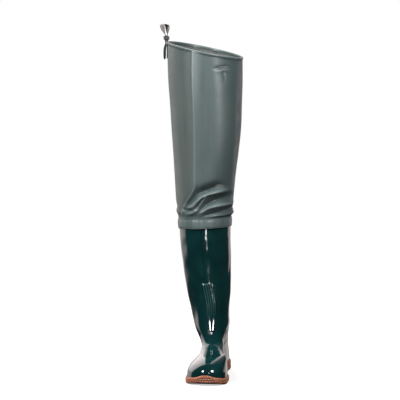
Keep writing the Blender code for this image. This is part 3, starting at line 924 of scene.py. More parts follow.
@dataclass(frozen=True)
class GlossyBoot:
    """High-gloss moulded green-black compound with a slightly wavy skin."""

    colour: Colour = (0.0018, 0.0225, 0.0238)
    light: Colour = (0.0036, 0.0330, 0.0345)
    # Paler colour of the painted highlight on the patch's rib crests and top edge
    rubbed: Colour = (0.060, 0.105, 0.105)
    clouds: Clouds = Clouds(22.0, 3.0, 0.35, 0.70, 0.0, 1.0)
    smears: Clouds = Clouds(75.0, 5.0, 0.35, 0.75, 0.07, 0.19, 0.45)
    waves: Grain = Grain(150.0, 1.0, 0.10, 0.0006)
    grain: Grain = Grain(1500.0, 2.0, 0.05, 0.0001)
    seam_depth: float = 0.0014

    def material(self) -> bpy.types.Material:
        """Deep colour under clear skin; painted highlight on patch ribs and top edge; faint smears; mould
        waves.
        """
        graph = Graph("glossy_boot_look")
        colour = graph.blend(graph.cloudy(self.clouds), self.colour, self.light)
        # Painted highlight on the patch's rib crests and top edge
        colour = graph.blend(graph.mark("rubbed"), colour, self.rubbed)
        skin = graph.grained(self.grain, graph.grained(self.waves))
        return graph.finish(
            Base_Color=colour,
            Roughness=graph.cloudy(self.smears),
            Normal=graph.bump(graph.mark("seam"), 1.0, self.seam_depth, skin),
            IOR=1.52,
            Coat_Weight=1.0,
            Coat_IOR=1.55,
            Coat_Roughness=0.04,
        )


@dataclass(frozen=True)
class CoatedFabric:
    """Satin coated fabric: grey green, olive outer panel, crease wear, painted highlight and painted shade.
    """

    colour: Colour = (0.087, 0.123, 0.122)
    deep: Colour = (0.070, 0.100, 0.100)
    olive: Colour = (0.100, 0.121, 0.112)
    pale: Colour = (0.340, 0.390, 0.382)
    shade: Colour = (0.038, 0.057, 0.056)
    clouds: Clouds = Clouds(14.0, 4.0, 0.36, 0.68, 0.0, 0.6)
    streaks: Clouds = Clouds(60.0, 3.0, 0.40, 0.70, 0.0, 0.5, 0.09)
    roughness: Clouds = Clouds(40.0, 4.0, 0.30, 0.70, 0.40, 0.54)
    cockle: Grain = Grain(90.0, 3.0, 0.16, 0.0012, 0.5)
    thread_pitch: float = 0.0011
    thread_strength: float = 0.12
    thread_depth: float = 0.00012

    def material(self) -> bpy.types.Material:
        """Mix panel, streaks, crease wear, painted highlight and shade over the backing's thread print."""
        graph = Graph("coated_fabric_look")
        colour = graph.blend(graph.cloudy(self.clouds), self.colour, self.deep)
        colour = graph.blend(graph.mark("panel"), colour, self.olive)
        colour = graph.blend(graph.cloudy(self.streaks), colour, self.deep)
        # ridge mark: paler from wear on the press line, painted highlight on the strip beside it and on
        # raised folds
        colour = graph.blend(graph.mark("ridge"), colour, self.pale)
        # fold mark: painted shade in troughs, grooves, under the hem flap and over the inner side
        colour = graph.blend(graph.mark("fold"), colour, self.shade)
        threads = graph.weave(self.thread_pitch)
        cockle = graph.grained(self.cockle)
        return graph.finish(
            Base_Color=colour,
            Roughness=graph.cloudy(self.roughness),
            Normal=graph.bump(threads, self.thread_strength, self.thread_depth, cockle),
            Specular_IOR_Level=0.45,
            Coat_Weight=0.3,
            Coat_Roughness=0.28,
        )


@dataclass(frozen=True)
class WovenLining:
    """Plain woven lining seen inside the mouth."""

    colour: Colour = (0.150, 0.165, 0.158)
    dark: Colour = (0.095, 0.108, 0.104)
    wear: Clouds = Clouds(25.0, 4.0, 0.35, 0.70, 0.0, 0.8)
    thread_pitch: float = 0.0016
    thread_strength: float = 0.45
    thread_depth: float = 0.0004
    thread_shade: Fade = Fade(-1.0, 1.0, 0.0, 0.35)

    def material(self) -> bpy.types.Material:
        """Two thread directions with soft clouds of wear."""
        graph = Graph("woven_lining_look")
        threads = graph.weave(self.thread_pitch)
        colour = graph.blend(graph.cloudy(self.wear), self.colour, self.dark)
        colour = graph.blend(graph.rescale(threads, *self.thread_shade), colour, self.dark)
        normal = graph.bump(threads, self.thread_strength, self.thread_depth)
        return graph.finish(Base_Color=colour, Roughness=0.85, Normal=normal, Sheen_Weight=0.15)


@dataclass(frozen=True)
class Webbing:
    """Woven strap: ribs across its length in two slanting rows, and a thicker edge."""

    name: str
    colour: Colour
    dark: Colour
    sheen: float = 0.25
    rib_pitch: float = 0.0021
    rib_strength: float = 0.6
    rib_depth: float = 0.0004
    rib_shade: Fade = Fade(-1.2, 0.8, 0.6, 0.0)
    slant: float = 0.55
    cord_pitch: float = 0.0025
    cord_share: float = 0.5
    fuzz: Clouds = Clouds(900.0, 3.0, 0.45, 0.75, 0.0, 0.4)
    nap: Grain = Grain(900.0, 3.0, 0.2, 0.0002)

    def material(self) -> bpy.types.Material:
        """Ribs follow the distance along the strap plus a share of the distance from its middle."""
        graph = Graph(self.name)
        surface = graph.surface_place
        distance = graph.math("ABSOLUTE", graph.axis(surface, "X"))
        slanted = graph.math("ADD", graph.axis(surface, "Y"), graph.math("MULTIPLY", distance, self.slant))
        ribs = graph.math("SINE", graph.math("MULTIPLY", slanted, FULL_TURN / self.rib_pitch))
        cords = graph.ripple(surface, "X", self.cord_pitch)
        relief = graph.math("ADD", ribs, graph.math("MULTIPLY", cords, self.cord_share))
        colour = graph.blend(graph.rescale(relief, *self.rib_shade), self.colour, self.dark)
        colour = graph.blend(graph.cloudy(self.fuzz), colour, self.dark)
        normal = graph.grained(self.nap, graph.bump(relief, self.rib_strength, self.rib_depth))
        return graph.finish(Base_Color=colour, Roughness=0.82, Normal=normal, Sheen_Weight=self.sheen)


@dataclass(frozen=True)
class SliderPlastic:
    """Black moulded plastic with a fine spark-eroded grain and rub marks."""

    colour: Colour = (0.012, 0.012, 0.012)
    rubbed: Colour = (0.045, 0.045, 0.044)
    rub_marks: Clouds = Clouds(260.0, 4.0, 0.52, 0.74, 0.0, 0.8)
    grain: Grain = Grain(2600.0, 2.0, 0.3, 0.00015)
    roughness: Fade = Fade(0.0, 0.8, 0.34, 0.5)

    def material(self) -> bpy.types.Material:
        """Grain in the bump, rub marks in the colour."""
        graph = Graph("slider_plastic_look")
        marks = graph.cloudy(self.rub_marks)
        return graph.finish(
            Base_Color=graph.blend(marks, self.colour, self.rubbed),
            Roughness=graph.rescale(marks, *self.roughness),
            Normal=graph.grained(self.grain),
        )


@dataclass(frozen=True)
class SockFelt:
    """Pressed grey felt of the sock insole."""

    colour: Colour = (0.190, 0.184, 0.172)
    dark: Colour = (0.080, 0.078, 0.074)
    flecks: Clouds = Clouds(700.0, 4.0, 0.48, 0.70, 0.0, 0.7)
    wear: Clouds = Clouds(30.0, 3.0, 0.42, 0.68, 0.0, 0.5)
    nap: Grain = Grain(1800.0, 4.0, 0.7, 0.0004)

    def material(self) -> bpy.types.Material:
        """Dark flecks and worn clouds in the colour, nap in the bump."""
        graph = Graph("sock_felt_look")
        colour = graph.blend(graph.cloudy(self.flecks), self.colour, self.dark)
        colour = graph.blend(graph.cloudy(self.wear), colour, self.dark)
        normal = graph.grained(self.nap)
        return graph.finish(Base_Color=colour, Roughness=0.95, Normal=normal, Sheen_Weight=0.3)


class WallRow(NamedTuple):
    """Side wall of the sole: rise from tread to rim, inset, and share of the toe bumper that stands proud."""

    rise: float
    inset: float
    bumper: float


class GrooveRun(NamedTuple):
    """A row of grooves across the tread: place of the first, distance between them and how many."""

    first: float
    pitch: float
    count: int


@dataclass
class Outsole:
    """Gum sole: chevron tread, grooved side wall, pebbled toe bumper, rim and pocket."""

    last: Last
    stations: int = 420
    rungs: int = 44
    wall_steps: int = 34
    # Toe bumper and pocket
    bumper: float = 1.4
    bumper_start: float = 0.86
    bumper_full: float = 0.95
    pocket_inset: float = 3.2
    pocket_chamfer: float = 0.5
    # Chevron grooves of the tread
    groove_width: float = 5.0
    groove_edge: float = 1.2
    groove_depth: float = 4.0
    groove_reach: float = 75.0
    groove_sweep: float = 13.0
    # Studs of the toe bumper, and the marks that the finish reads
    pebble_pitch: float = 6.2
    pebble_share: float = 0.48
    pebble_height: float = 1.3
    pebble_half_span: float = 50.0
    pebble_arch: float = 0.95
    pebble_low: float = 0.10
    pebble_top: float = 1.02
    pebble_fade: float = 0.06
    pebble_side_fade: float = 0.08
    pebble_scatter: float = 0.9
    # Painted shade between the studs and painted highlight on their tops
    gap_shade_fade: float = 1.5
    gap_shade_level: float = 1.3
    stud_highlight_top: Ramp = Ramp(0.6, 0.3)
    # Side wall: the rises between which its groove is filled at the toe, and its table
    side_groove: tuple[float, float] = (0.45, 0.55)
    row_step: float = 0.02
    # Painted shade near the bottom edge and away from the middle of the toe
    edge_shade_height: float = 3.2
    side_shade: float = 0.3
    side_shade_fade: Ramp = Ramp(20.0, 30.0)
    walls: tuple[WallRow, ...] = (
        WallRow(0.00, 2.2, 0.0),
        WallRow(0.08, 0.6, 0.0),
        WallRow(0.20, 0.0, 1.0),
        WallRow(0.42, 0.0, 1.0),
        WallRow(0.46, 0.9, 1.0),
        WallRow(0.54, 0.9, 1.0),
        WallRow(0.58, 0.0, 1.0),
        WallRow(0.86, 0.0, 1.0),
        WallRow(0.96, 0.5, 0.2),
        WallRow(1.00, 1.3, 0.0),
    )
    grooves: tuple[GrooveRun, ...] = (GrooveRun(10.0, 16.0, 4), GrooveRun(150.0, 14.0, 8))

    def groove_share(self, x: Array, s: Array) -> Array:
        """How deep in a groove a tread point lies: 1 within half a width of the nearest chevron's line."""
        straight = s + self.groove_sweep * np.abs(x) / self.groove_reach
        share = np.zeros_like(straight)
        for run in self.grooves:
            number = np.clip(np.round((straight - run.first) / run.pitch), 0, run.count - 1)
            distance = np.abs(straight - run.first - number * run.pitch)
            edge = (self.groove_width + self.groove_edge) / 2.0
            share = np.maximum(share, ease(distance, edge, -self.groove_edge))
        return share

    def pebbles(self, across: Array, height: Array) -> Array:
        """Rounded studs on a jittered honeycomb: a half sphere over the nearest stud's middle.

        Args:
            across: distance round the toe from its middle.
            height: height above the floor.

        Returns:
            Relief from 0 to 1.
        """
        row_pitch = self.pebble_pitch * math.sin(math.radians(60.0))
        nearest = np.full(np.broadcast(across, height).shape, np.inf)
        for shift in (-1.0, 0.0, 1.0):
            row = np.round(height / row_pitch) + shift
            offset = (row % 2.0) * self.pebble_pitch / 2.0
            column = np.round((across - offset) / self.pebble_pitch)
            jitter = scatter(column, row) * self.pebble_scatter
            stud = column * self.pebble_pitch + offset + jitter
            distance = np.hypot(across - stud, height - row * row_pitch - 0.5 * jitter)
            nearest = np.minimum(nearest, distance)
        radius = self.pebble_pitch * self.pebble_share
        return np.sqrt(np.clip(1.0 - (nearest / radius) ** 2, 0.0, 1.0))

    def pebble_zone(self, across: Array, rise: Array) -> Array:
        """Arched field of the studs: full in the middle of the toe, lower and fading to its sides."""
        reach = np.abs(across) / self.pebble_half_span
        top = self.pebble_top - self.pebble_arch * reach**2
        edges = ease(rise, top, -self.pebble_fade) * ease(rise, self.pebble_low, self.pebble_fade)
        return edges * ease(reach, 1.0, -self.pebble_side_fade)

    def wall_grid(self, angle: Array) -> tuple[Array, dict[str, Array]]:
        """Outside of the sole from tread to rim, with the bumper, the grooves' ends and the studs.

        Args:
            angle: angles of the columns.

        Returns:
            The points, and marks of painted stud highlight, painted gap shade and painted low and side shade.
        """
        table_rise = [row.rise for row in self.walls]
        rise = np.union1d(np.linspace(0.0, 1.0, self.wall_steps), table_rise)
        inset = np.interp(rise, table_rise, [row.inset for row in self.walls])[:, None]
        proud = np.interp(rise, table_rise, [row.bumper for row in self.walls])[:, None]
        t = along(angle)[None, :]
        toe = ease(t, self.bumper_start, self.bumper_full - self.bumper_start)
        tread, rim = self.last.tread(t), self.last.rim(t)
        low, high = self.side_groove
        grooved = ((rise > low) & (rise < high))[:, None]
        inset = inset * (1.0 - toe * grooved) - self.bumper * proud * toe
        grid = self.last.sole_loop(angle[None, :], inset, mix(tread, rim, rise[:, None]))
        edge = grid[0]
        depth = self.groove_depth * self.groove_share(edge[:, 0], self.last.heel_centre - edge[:, 1])
        lowest = edge[:, 2] + depth + self.row_step * np.arange(len(rise))[:, None]
        grid[..., 2] = np.maximum(grid[..., 2], lowest)
        grid[0, :, 2] = edge[:, 2] + depth

        middle = grid[len(rise) // 2]
        steps = np.linalg.norm(np.roll(middle, -1, axis=0) - middle, axis=1)
        travelled = np.concatenate(([0.0], np.cumsum(steps)[:-1]))
        across = (travelled - travelled[self.stations])[None, :]
        zone = self.pebble_zone(across, rise[:, None]) * (t > self.bumper_start)
        studs = self.pebbles(across, grid[..., 2])
        # Painted shade away from the middle of the toe and near the bottom edge
        side_shade = self.side_shade * ease(np.abs(across), *self.side_shade_fade)
        marks = {
            "gap": zone * np.clip(self.gap_shade_level - self.gap_shade_fade * studs, 0.0, 1.0),
            "stud": zone * ease(studs, *self.stud_highlight_top),
            "dirt": bell((grid[..., 2] - edge[:, 2]) / self.edge_shade_height) + side_shade,
        }
        return grid + (self.pebble_height * zone * studs)[..., None] * grid_normals(grid, True), marks

    def build(self, finish: bpy.types.Material) -> None:
        """Join the side wall, the pocket, its floor and the tread into one closed piece."""
        skin = Skin("sole_gum")
        count = 2 * self.stations
        angle = ring_angles(count)
        t = along(angle)
        wall, marks = self.wall_grid(angle)
        rim, floor = self.last.rim(t), self.last.floor(t)
        pocket = [
            self.last.sole_loop(angle, self.pocket_inset - self.pocket_chamfer, rim),
            self.last.sole_loop(angle, self.pocket_inset, rim - self.pocket_chamfer),
            self.last.sole_loop(angle, self.pocket_inset, floor),
        ]
        rings = np.concatenate((skin.add_points(wall, marks), skin.add_points(np.stack(pocket))))
        skin.add_grid(rings, True)
        self.add_pocket_floor(skin, rings[-1])
        self.add_tread(skin, rings[0], wall[0])
        skin.build("outsole", "gum_rubber", [finish], 40.0)

    def add_pocket_floor(self, skin: Skin, ring: Array) -> None:
        """Close the pocket with a rung between each pair of points at the same place along the foot."""
        left, right = ring[1 : self.stations], ring[: self.stations : -1]
        skin.add_faces(np.stack((right[:-1], right[1:], left[1:], left[:-1]), axis=-1))
        skin.add_faces(np.array([[ring[-1], ring[1], ring[0]]]))
        skin.add_faces(np.array([[ring[self.stations + 1], ring[self.stations], ring[self.stations - 1]]]))

    def add_tread(self, skin: Skin, ring: Array, edge: Array) -> None:
        """Close the sole below: rungs straight across, raised into the grooves.

        Args:
            skin: piece that takes the faces.
            ring: point numbers of the lowest loop of the wall.
            edge: its points.
        """
        left, right = slice(1, self.stations), slice(None, self.stations, -1)
        share = np.linspace(0.0, 1.0, self.rungs + 1)[1:-1]
        x = mix(edge[left, 0][:, None], edge[right, 0][:, None], share[None, :])
        s = np.broadcast_to(self.last.heel_centre - edge[left, 1][:, None], x.shape)
        tread = self.last.tread(along(ring_angles(2 * self.stations))[left])[:, None]
        inside = skin.add_points(self.last.points(x, s, tread + self.groove_depth * self.groove_share(x, s)))
        numbers = np.concatenate((ring[left][:, None], inside, ring[right][:, None]), axis=1)
        skin.add_grid(numbers)
        heel = np.full(self.rungs, ring[0])
        toe = np.full(self.rungs, ring[self.stations])
        skin.add_faces(np.stack((heel, numbers[0, :-1], numbers[0, 1:]), axis=-1))
        skin.add_faces(np.stack((numbers[-1, :-1], toe, numbers[-1, 1:]), axis=-1))


class KeelRow(NamedTuple):
    """The shin's keel at a height: how far it stands out, and the radius that its ridge is rounded to."""

    z: float
    height: float
    radius: float


class PatchRow(NamedTuple):
    """The shin patch at a height: its half width, and the degrees of its middle from the front."""

    z: float
    half_width: float
    turn: float


SHIN_KEEL = (
    KeelRow(80.0, 0.0, 0.5),
    KeelRow(96.0, 3.4, 0.5),
    KeelRow(126.0, 3.4, 4.4),
    KeelRow(152.0, 3.4, 11.0),
    KeelRow(165.0, 3.4, 12.0),
    KeelRow(228.0, 0.0, 12.0),
)
SHIN_PATCH = (
    PatchRow(108.9, 4.5, -5.0),
    PatchRow(142.0, 9.0, -5.5),
    PatchRow(165.0, 11.5, -6.4),
    PatchRow(195.0, 13.0, -6.5),
    PatchRow(228.0, 13.5, -4.5),
)


@dataclass
class Boot:
    """Moulded glossy boot: hollow upper with its mould lines, and the ribbed patch on the shin."""

    last: Last
    leg: Leg
    wall: float = 2.2
    inset: float = 3.5
    gap: float = 0.3
    columns: int = 320
    rows: int = 200
    inner_step: int = 5
    leg_heights: tuple[float, ...] = (142.0, 165.0, 195.0, 228.0, 262.0, 300.0, 335.0, 362.0, 374.0, 386.0)
    # Relief of the upper
    crease_fade: Ramp = Ramp(120.0, 30.0)
    mould_line: float = 0.45
    mould_line_width: float = 1.5
    mould_line_fade: Ramp = Ramp(45.0, 20.0)
    ripple: float = 0.16
    waves: tuple[Wave, ...] = (
        Wave(1.0, 3.0, 0.0, 21.0), Wave(1.0, 5.0, 1.3, -13.0), Wave(0.7, 8.0, 0.4, 9.0)
    )
    seam_half_width: float = 0.1
    seam_fade: Ramp = Ramp(234.0, 12.0)
    keel_width: float = 10.0
    # Shin patch with its ribs
    patch_wall: float = 1.1
    patch_side_round: float = 0.10
    patch_end_round: float = 0.03
    patch_ribs: int = 5
    patch_rib: float = 0.22
    rib_side_fade: float = 0.12
    rib_foot_fade: Ramp = Ramp(0.35, 0.25)
    rib_head_fade: Ramp = Ramp(0.97, -0.04)
    # Painted highlight on the rib crests and along the patch's top edge
    rib_highlight: float = 0.7
    rib_highlight_fade: Ramp = Ramp(0.25, 0.3)
    edge_highlight: tuple[float, float] = (0.985, 0.012)
    patch_columns: int = 61
    patch_rows: int = 110
    creases: tuple[Crease, ...] = (
        # The tube swells a little under the band, and the back of the ankle folds softly
        crease(
            Run.ROUND, 16.0, 13.0,
            (-110, 340, 0.0), (-40, 338, 0.5), (0, 339, 0.7), (40, 337, 0.5), (110, 339, 0.0),
        ),
        crease(
            Run.ROUND, 9.0, 9.0,
            (120, 190, 0.0), (155, 180, -1.6), (190, 184, -1.8), (230, 178, -1.4), (260, 190, 0.0),
        ),
        crease(Run.ROUND, 8.0, 8.0, (125, 160, 0.0), (160, 155, -1.2), (200, 158, -1.4), (240, 152, 0.0)),
    )

    def loops(self, angle: Array) -> Array:
        """Sections that the boot is drawn through: feather edge, rim, foot sections and ovals of the leg."""
        t = along(angle)
        low = [
            self.last.sole_loop(angle, self.inset, self.last.floor(t) + self.gap),
            self.last.sole_loop(angle, self.inset, self.last.rim(t)),
        ]
        foot = [self.last.foot_loop(angle, row) for row in UPPER_FOOT]
        leg = [self.leg.ring(angle, np.full_like(angle, z), 0.0) for z in self.leg_heights]
        return np.stack(low + foot + leg)

    def keel(self, across: Array, z: Array) -> Array:
        """Ridge of the shin: e to the power of minus the distance from its line, rounded near the line."""
        height, radius = (curve(z) for curve in curves_of(SHIN_KEEL, "z", "height", "radius"))
        return height * np.exp((radius - np.hypot(across, radius)) / self.keel_width)

    def relief(self, angle: Array, grid: Array) -> Array:
        """Keel of the shin, mould line at the back, ankle folds and the faint waves of the moulded skin.

        Args:
            angle: angles of the columns.
            grid: the smooth surface.

        Returns:
            Heights in millimetres along the surface's normals.
        """
        turn, z = np.broadcast_arrays(turn_of(angle)[None, :], grid[..., 2])
        reach = self.leg.mm_per_degree(z)
        height = sum(fold.relief(turn, z, reach) for fold in self.creases)
        height = height * ease(z, *self.crease_fade)
        (middle,) = curves_of(SHIN_PATCH, "z", "turn")
        height = height + self.keel((turn - middle(z)) * reach, z)
        back_turn = (turn + 360.0) % 360.0 - 180.0
        line = ease(z, *self.mould_line_fade) * bell(back_turn * reach / self.mould_line_width)
        return height + self.mould_line * line + self.ripple * sum_waves(self.waves, np.radians(turn), z)

    def build_upper(self, finish: bpy.types.Material, lining: bpy.types.Material) -> None:
        """Make the hollow upper."""
        angle = ring_angles(self.columns)
        grid = loft(self.loops(angle), self.rows)
        grid = grid + self.relief(angle, grid)[..., None] * grid_normals(grid, True)
        skin = Skin("boot_upper")
        seam = (np.abs(turn_of(angle)) < self.seam_half_width) * ease(grid[..., 2], *self.seam_fade)
        add_shell(skin, grid, self.wall, self.inner_step, {"seam": seam})
        skin.build("upper", "glossy_boot", [finish, lining])

    def build_patch(self, finish: bpy.types.Material) -> None:
        """Make the shin patch: a shield over the keel, ribbed above, with its point at the throat."""
        sweep = np.linspace(-1.0, 1.0, self.patch_columns)
        throat = UPPER_FOOT[-1]
        loops = []
        for row in SHIN_PATCH:
            reach = math.asin(row.half_width / float(self.leg.half_width(row.z)))
            angle = FRONT + math.radians(row.turn) + sweep * reach
            on_leg = self.leg.ring(angle, np.full_like(angle, row.z), 0.0)
            loops.append(on_leg if loops else self.last.foot_loop(angle, throat))
        base = loft(np.stack(loops), self.patch_rows)
        normal = grid_normals(base, False)
        up = np.linspace(0.0, 1.0, self.patch_rows)[:, None]
        side = 1.0 - np.abs(sweep)[None, :]
        rim = round_off(side, self.patch_side_round)
        rim = rim * round_off(1.0 - up, self.patch_end_round) * round_off(up, self.patch_end_round)
        crest = 0.5 + 0.5 * np.cos(FULL_TURN * (self.patch_ribs / 2.0) * sweep)[None, :]
        ribs = crest * ease(side, 0.0, self.rib_side_fade) * ease(up, *self.rib_head_fade)
        ribs = ribs * ease(up, *self.rib_foot_fade)
        # Painted highlight: thin paler lines on the rib crests and along the top edge
        place, width = self.edge_highlight
        rubbed = self.rib_highlight * crest**6 * ease(up, *self.rib_highlight_fade) + bell((place - up) / width)
        middle = base[:, self.patch_columns // 2][:, None, :]
        keel = self.keel(np.linalg.norm(base - middle, axis=2), base[..., 2])
        height = keel + self.gap + rim * (self.patch_wall + self.patch_rib * ribs)
        top = base + height[..., None] * normal
        bottom = base + (keel - self.gap)[..., None] * normal
        skin = Skin("boot_shin_patch")
        marks = {"rubbed": np.minimum(rubbed, 1.0)}
        add_slab(skin, top, bottom, texture_grid(base[..., 0], base[..., 2]), marks)
        skin.build("shin_patch", "glossy_boot", [finish])


class Pucker(NamedTuple):
    """A swelling of the tape at a turn, with its width in degrees and its height."""

    turn: float
    width: float
    height: float

    def share(self, turn: Array) -> Array:
        """Bell round the pucker's own turn."""
        return bell((turn - self.turn) / self.width)


@dataclass
class ThighLeg:
    """Coated-fabric leg: the creased shaft, the tape over its weld and the bound hem of its mouth."""

    leg: Leg
    columns: int = 320
    rows: int = 230
    knee_share: float = 0.24
    knee_rows: int = 110
    inner_step: int = 6
    wall: float = 1.0
    gap: float = 0.3
    # Shaft, and the marks that the finish reads, with painted highlight and painted shade
    crease_fade: Ramp = Ramp(389.0, 9.0)
    crease_head: Ramp = Ramp(8.0, -16.0)
    panel_fade: float = 6.0
    panel_end: Ramp = Ramp(178.0, -4.0)
    panel_mark: float = 0.8
    strip_fade: Ramp = Ramp(660.0, 110.0)
    strip_width: float = 15.0
    press_mark: float = 0.16
    # Painted highlight on the strip beside the press line and on raised folds
    strip_highlight: float = 0.28
    ridge_highlight: float = 0.06
    ridge_most: float = 6.0
    ridge_limit: float = 0.6
    # Painted shade in troughs, in a line under the hem and over the inner side of the leg
    trough_shade: float = 0.15
    trough_shade_start: float = 0.12
    trough_shade_limit: float = 0.85
    hem_shadow: float = 0.5
    hem_shadow_width: float = 1.6
    inner_shade_mark: float = 0.42
    inner_shade_fades: tuple[Ramp, ...] = (Ramp(-28.0, -50.0), Ramp(-150.0, 40.0))
    # Tape over the weld
    band_height: float = 22.0
    band_rows: int = 22
    band_wall: float = 1.0
    band_inner_step: int = 4
    band_lines: tuple[float, float] = (0.10, 0.90)
    band_line_width: float = 0.035
    band_line_depth: float = 0.45
    # Painted shade in the pressed lines
    band_line_shade: float = 0.40
    band_crown: float = 0.9
    band_edge: float = 0.5
    band_low_share: float = 0.5
    edge_waves: tuple[Wave, ...] = (Wave(0.5, 6.0, 0.8), Wave(0.35, 11.0, -0.3))
    front_gathers: tuple[Wave, ...] = (Wave(0.35, 23.0),)
    gathers: tuple[Wave, ...] = (Wave(0.2, 41.0, 1.0),)
    gathered: Pucker = Pucker(-4.0, 60.0, 1.0)
    pinch: Pucker = Pucker(-1.0, 3.0, 1.1)
    dip: Pucker = Pucker(7.0, 4.0, -0.8)
    pucker_foot: float = 0.3
    # A paler tone over the band, with painted highlight on the pinch
    band_mark: float = 0.08
    pinch_highlight: float = 0.12
    # Bound hem of the mouth
    hem_depth: float = 6.0
    hem_groove: float = 4.8
    hem_groove_edge: float = 0.5
    hem_groove_sink: float = 0.1
    # Painted shade in the pressed groove
    hem_groove_shade: float = 0.9
    hem_groove_width: float = 0.6
    hem_flap: float = 0.5
    hem_flap_swell: float = 0.1
    hem_shoulder: float = 1.3
    hem_shoulder_swell: float = 0.35
    hem_wall: float = 0.7
    hem_overlap: float = 1.0
    bead_steps: int = 13
    bead_foot: float = 0.3
    bead_height: float = 0.9
    bead_swell: float = 0.15
    # Painted highlight along the bead's crest
    bead_highlight: float = 0.35
    bead_middle: float = 0.6
    bead_highlight_width: float = 1.6

    def relief(self, turn: Array, z: Array, mouth: Array) -> Array:
        """Sum of the listed creases, fading out under the band and at the hem."""
        reach = self.leg.mm_per_degree(z)
        height = sum(fold.relief(turn, z, reach) for fold in LEG_CREASES)
        return height * ease(z, *self.crease_fade) * ease(z - mouth, *self.crease_head)

    def row_shares(self) -> Array:
        """Rows up the leg, closer together over the knee."""
        knee = np.linspace(0.0, self.knee_share, self.knee_rows, endpoint=False)
        return np.concatenate((knee, np.linspace(self.knee_share, 1.0, self.rows - self.knee_rows)))

    def build_shaft(self, finish: bpy.types.Material, lining: bpy.types.Material) -> None:
        """Make the creased shaft, with marks for its panel, crease wear, painted highlight and painted shade.
        """
        angle = ring_angles(self.columns)[None, :]
        low, mouth = self.leg.collar_low(angle), self.leg.mouth(angle)
        z = mix(low, mouth, self.row_shares()[:, None])
        turn = np.broadcast_to(turn_of(angle), z.shape)
        relief = self.relief(turn, z, mouth)
        grid = self.leg.ring(angle, z, self.gap + self.wall + relief)
        reach = self.leg.mm_per_degree(z)
        press = PRESS_LINE.relief(turn, z, reach)
        press_turn = PRESS_LINE.curves()[0](z)
        from_press = (turn - press_turn) * reach
        panel = ease(from_press, 0.0, self.panel_fade) * ease(turn, *self.panel_end)
        strip = ease(z, *self.strip_fade) * (turn < press_turn) * bell(from_press / self.strip_width)
        inner = math.prod(ease(turn, *fade) for fade in self.inner_shade_fades)
        # Paler from wear along the press line, painted highlight on the strip beside it and on raised folds
        ridge = self.press_mark * press + self.strip_highlight * strip
        ridge = ridge + self.ridge_highlight * np.clip(relief, 0.0, self.ridge_most)
        # Painted shade in troughs, in a line under the hem flap and over the inner side
        fold = np.clip(-self.trough_shade * relief - self.trough_shade_start, 0.0, self.trough_shade_limit)
        below_hem = bell((mouth - self.hem_depth - z) / self.hem_shadow_width)
        marks = {
            "panel": self.panel_mark * panel,
            "ridge": np.clip(ridge, 0.0, self.ridge_limit),
            "fold": fold + self.hem_shadow * below_hem + self.inner_shade_mark * inner,
        }
        skin = Skin("leg_fabric")
        add_shell(skin, grid, self.wall, self.inner_step, marks)
        skin.build("thigh_shaft", "coated_fabric", [finish, lining])

    def build_band(self, finish: bpy.types.Material) -> None:
        """Make the tape over the weld: a crowned, puckered strip with a pressed line near each edge."""
        angle = ring_angles(self.columns)[None, :]
        low = self.leg.collar_low(angle)
        up = np.linspace(0.0, 1.0, self.band_rows)[:, None]
        turn = turn_of(angle)
        phase = np.radians(turn)
        wave = sum_waves(self.edge_waves, phase)
        edge = self.band_edge
        wave = wave * (ease(up, edge, edge) - self.band_low_share * ease(up, edge, -edge))
        z = low + self.band_height * up + wave
        lines = sum(bell((up - place) / self.band_line_width) for place in self.band_lines)
        crown = self.band_crown * np.sqrt(np.clip(4.0 * up * (1.0 - up), 0.0, 1.0))
        puckers = sum(pucker.height * pucker.share(turn) for pucker in (self.pinch, self.dip))
        puckers = puckers + sum_waves(self.gathers, phase)
        puckers = puckers + sum_waves(self.front_gathers, phase) * self.gathered.share(turn)
        out = self.gap + self.wall + self.gap + self.band_wall + crown - self.band_line_depth * lines
        grid = self.leg.ring(angle, z, out + puckers * mix(self.pucker_foot, 1.0, up))
        # Painted shade in the pressed lines; paler tone over the band with painted highlight on the pinch
        marks = {
            "fold": self.band_line_shade * lines,
            "ridge": self.band_mark + self.pinch_highlight * self.pinch.share(turn),
        }
        skin = Skin("leg_collar_band")
        add_shell(skin, grid, self.band_wall, self.band_inner_step, marks)
        skin.build("collar_band", "coated_fabric", [finish, finish])

    def build_hem(self, finish: bpy.types.Material) -> None:
        """Make the hem: a round bead folded over the edge, a pressed groove, and flaps on both sides."""
        angle = ring_angles(self.columns)[None, :]
        edge = self.leg.mouth(angle)
        wall, depth, groove = self.hem_wall, self.hem_depth, self.hem_groove
        inside, outside = 0.0, self.gap + self.wall + self.gap
        flap = outside + self.hem_flap
        middle, radius = (inside + outside) / 2.0, (outside - inside) / 2.0 + wall + self.bead_swell
        bead = np.linspace(0.0, math.pi, self.bead_steps)
        profile = [
            (outside, -depth),
            (flap, -depth),
            (flap + self.hem_flap_swell, -groove - self.hem_groove_edge),
            (outside - self.hem_groove_sink, -groove),
            (outside + wall + self.hem_shoulder_swell, -groove + self.hem_shoulder),
            *zip(middle + radius * np.cos(bead), self.bead_foot + self.bead_height * np.sin(bead)),
            (inside - wall, -groove),
            (inside - wall, -depth),
            (inside, -depth),
            (inside, -self.hem_overlap),
            (outside, -self.hem_overlap),
        ]
        out, rise = (np.array(column)[:, None] for column in zip(*profile))
        grid = self.leg.ring(angle, edge - depth, out)
        grid[..., 2] = edge + rise
        skin = Skin("leg_hem")
        # Painted shade in the pressed groove and painted highlight along the bead's crest
        pressed = bell((rise + groove) / self.hem_groove_width)
        crest = bell((rise - self.bead_middle) / self.bead_highlight_width)
        marks = {"fold": self.hem_groove_shade * pressed, "ridge": self.bead_highlight * crest}
        numbers = skin.add_points(grid, marks)
        girth = FULL_TURN * float(self.leg.half_width(self.leg.mouth_height))
        across = np.linspace(0.0, girth, self.columns + 1)[None, :]
        heights = np.concatenate((rise, rise[:1]))
        skin.add_grid(numbers, True, True, texture_grid(across, heights))
        skin.build("top_hem", "coated_fabric", [finish], 50.0)


class StrapPoint(NamedTuple):
    """A point of the strap's middle line: out from the leg and up from the edge of the mouth."""

    out: float
    up: float


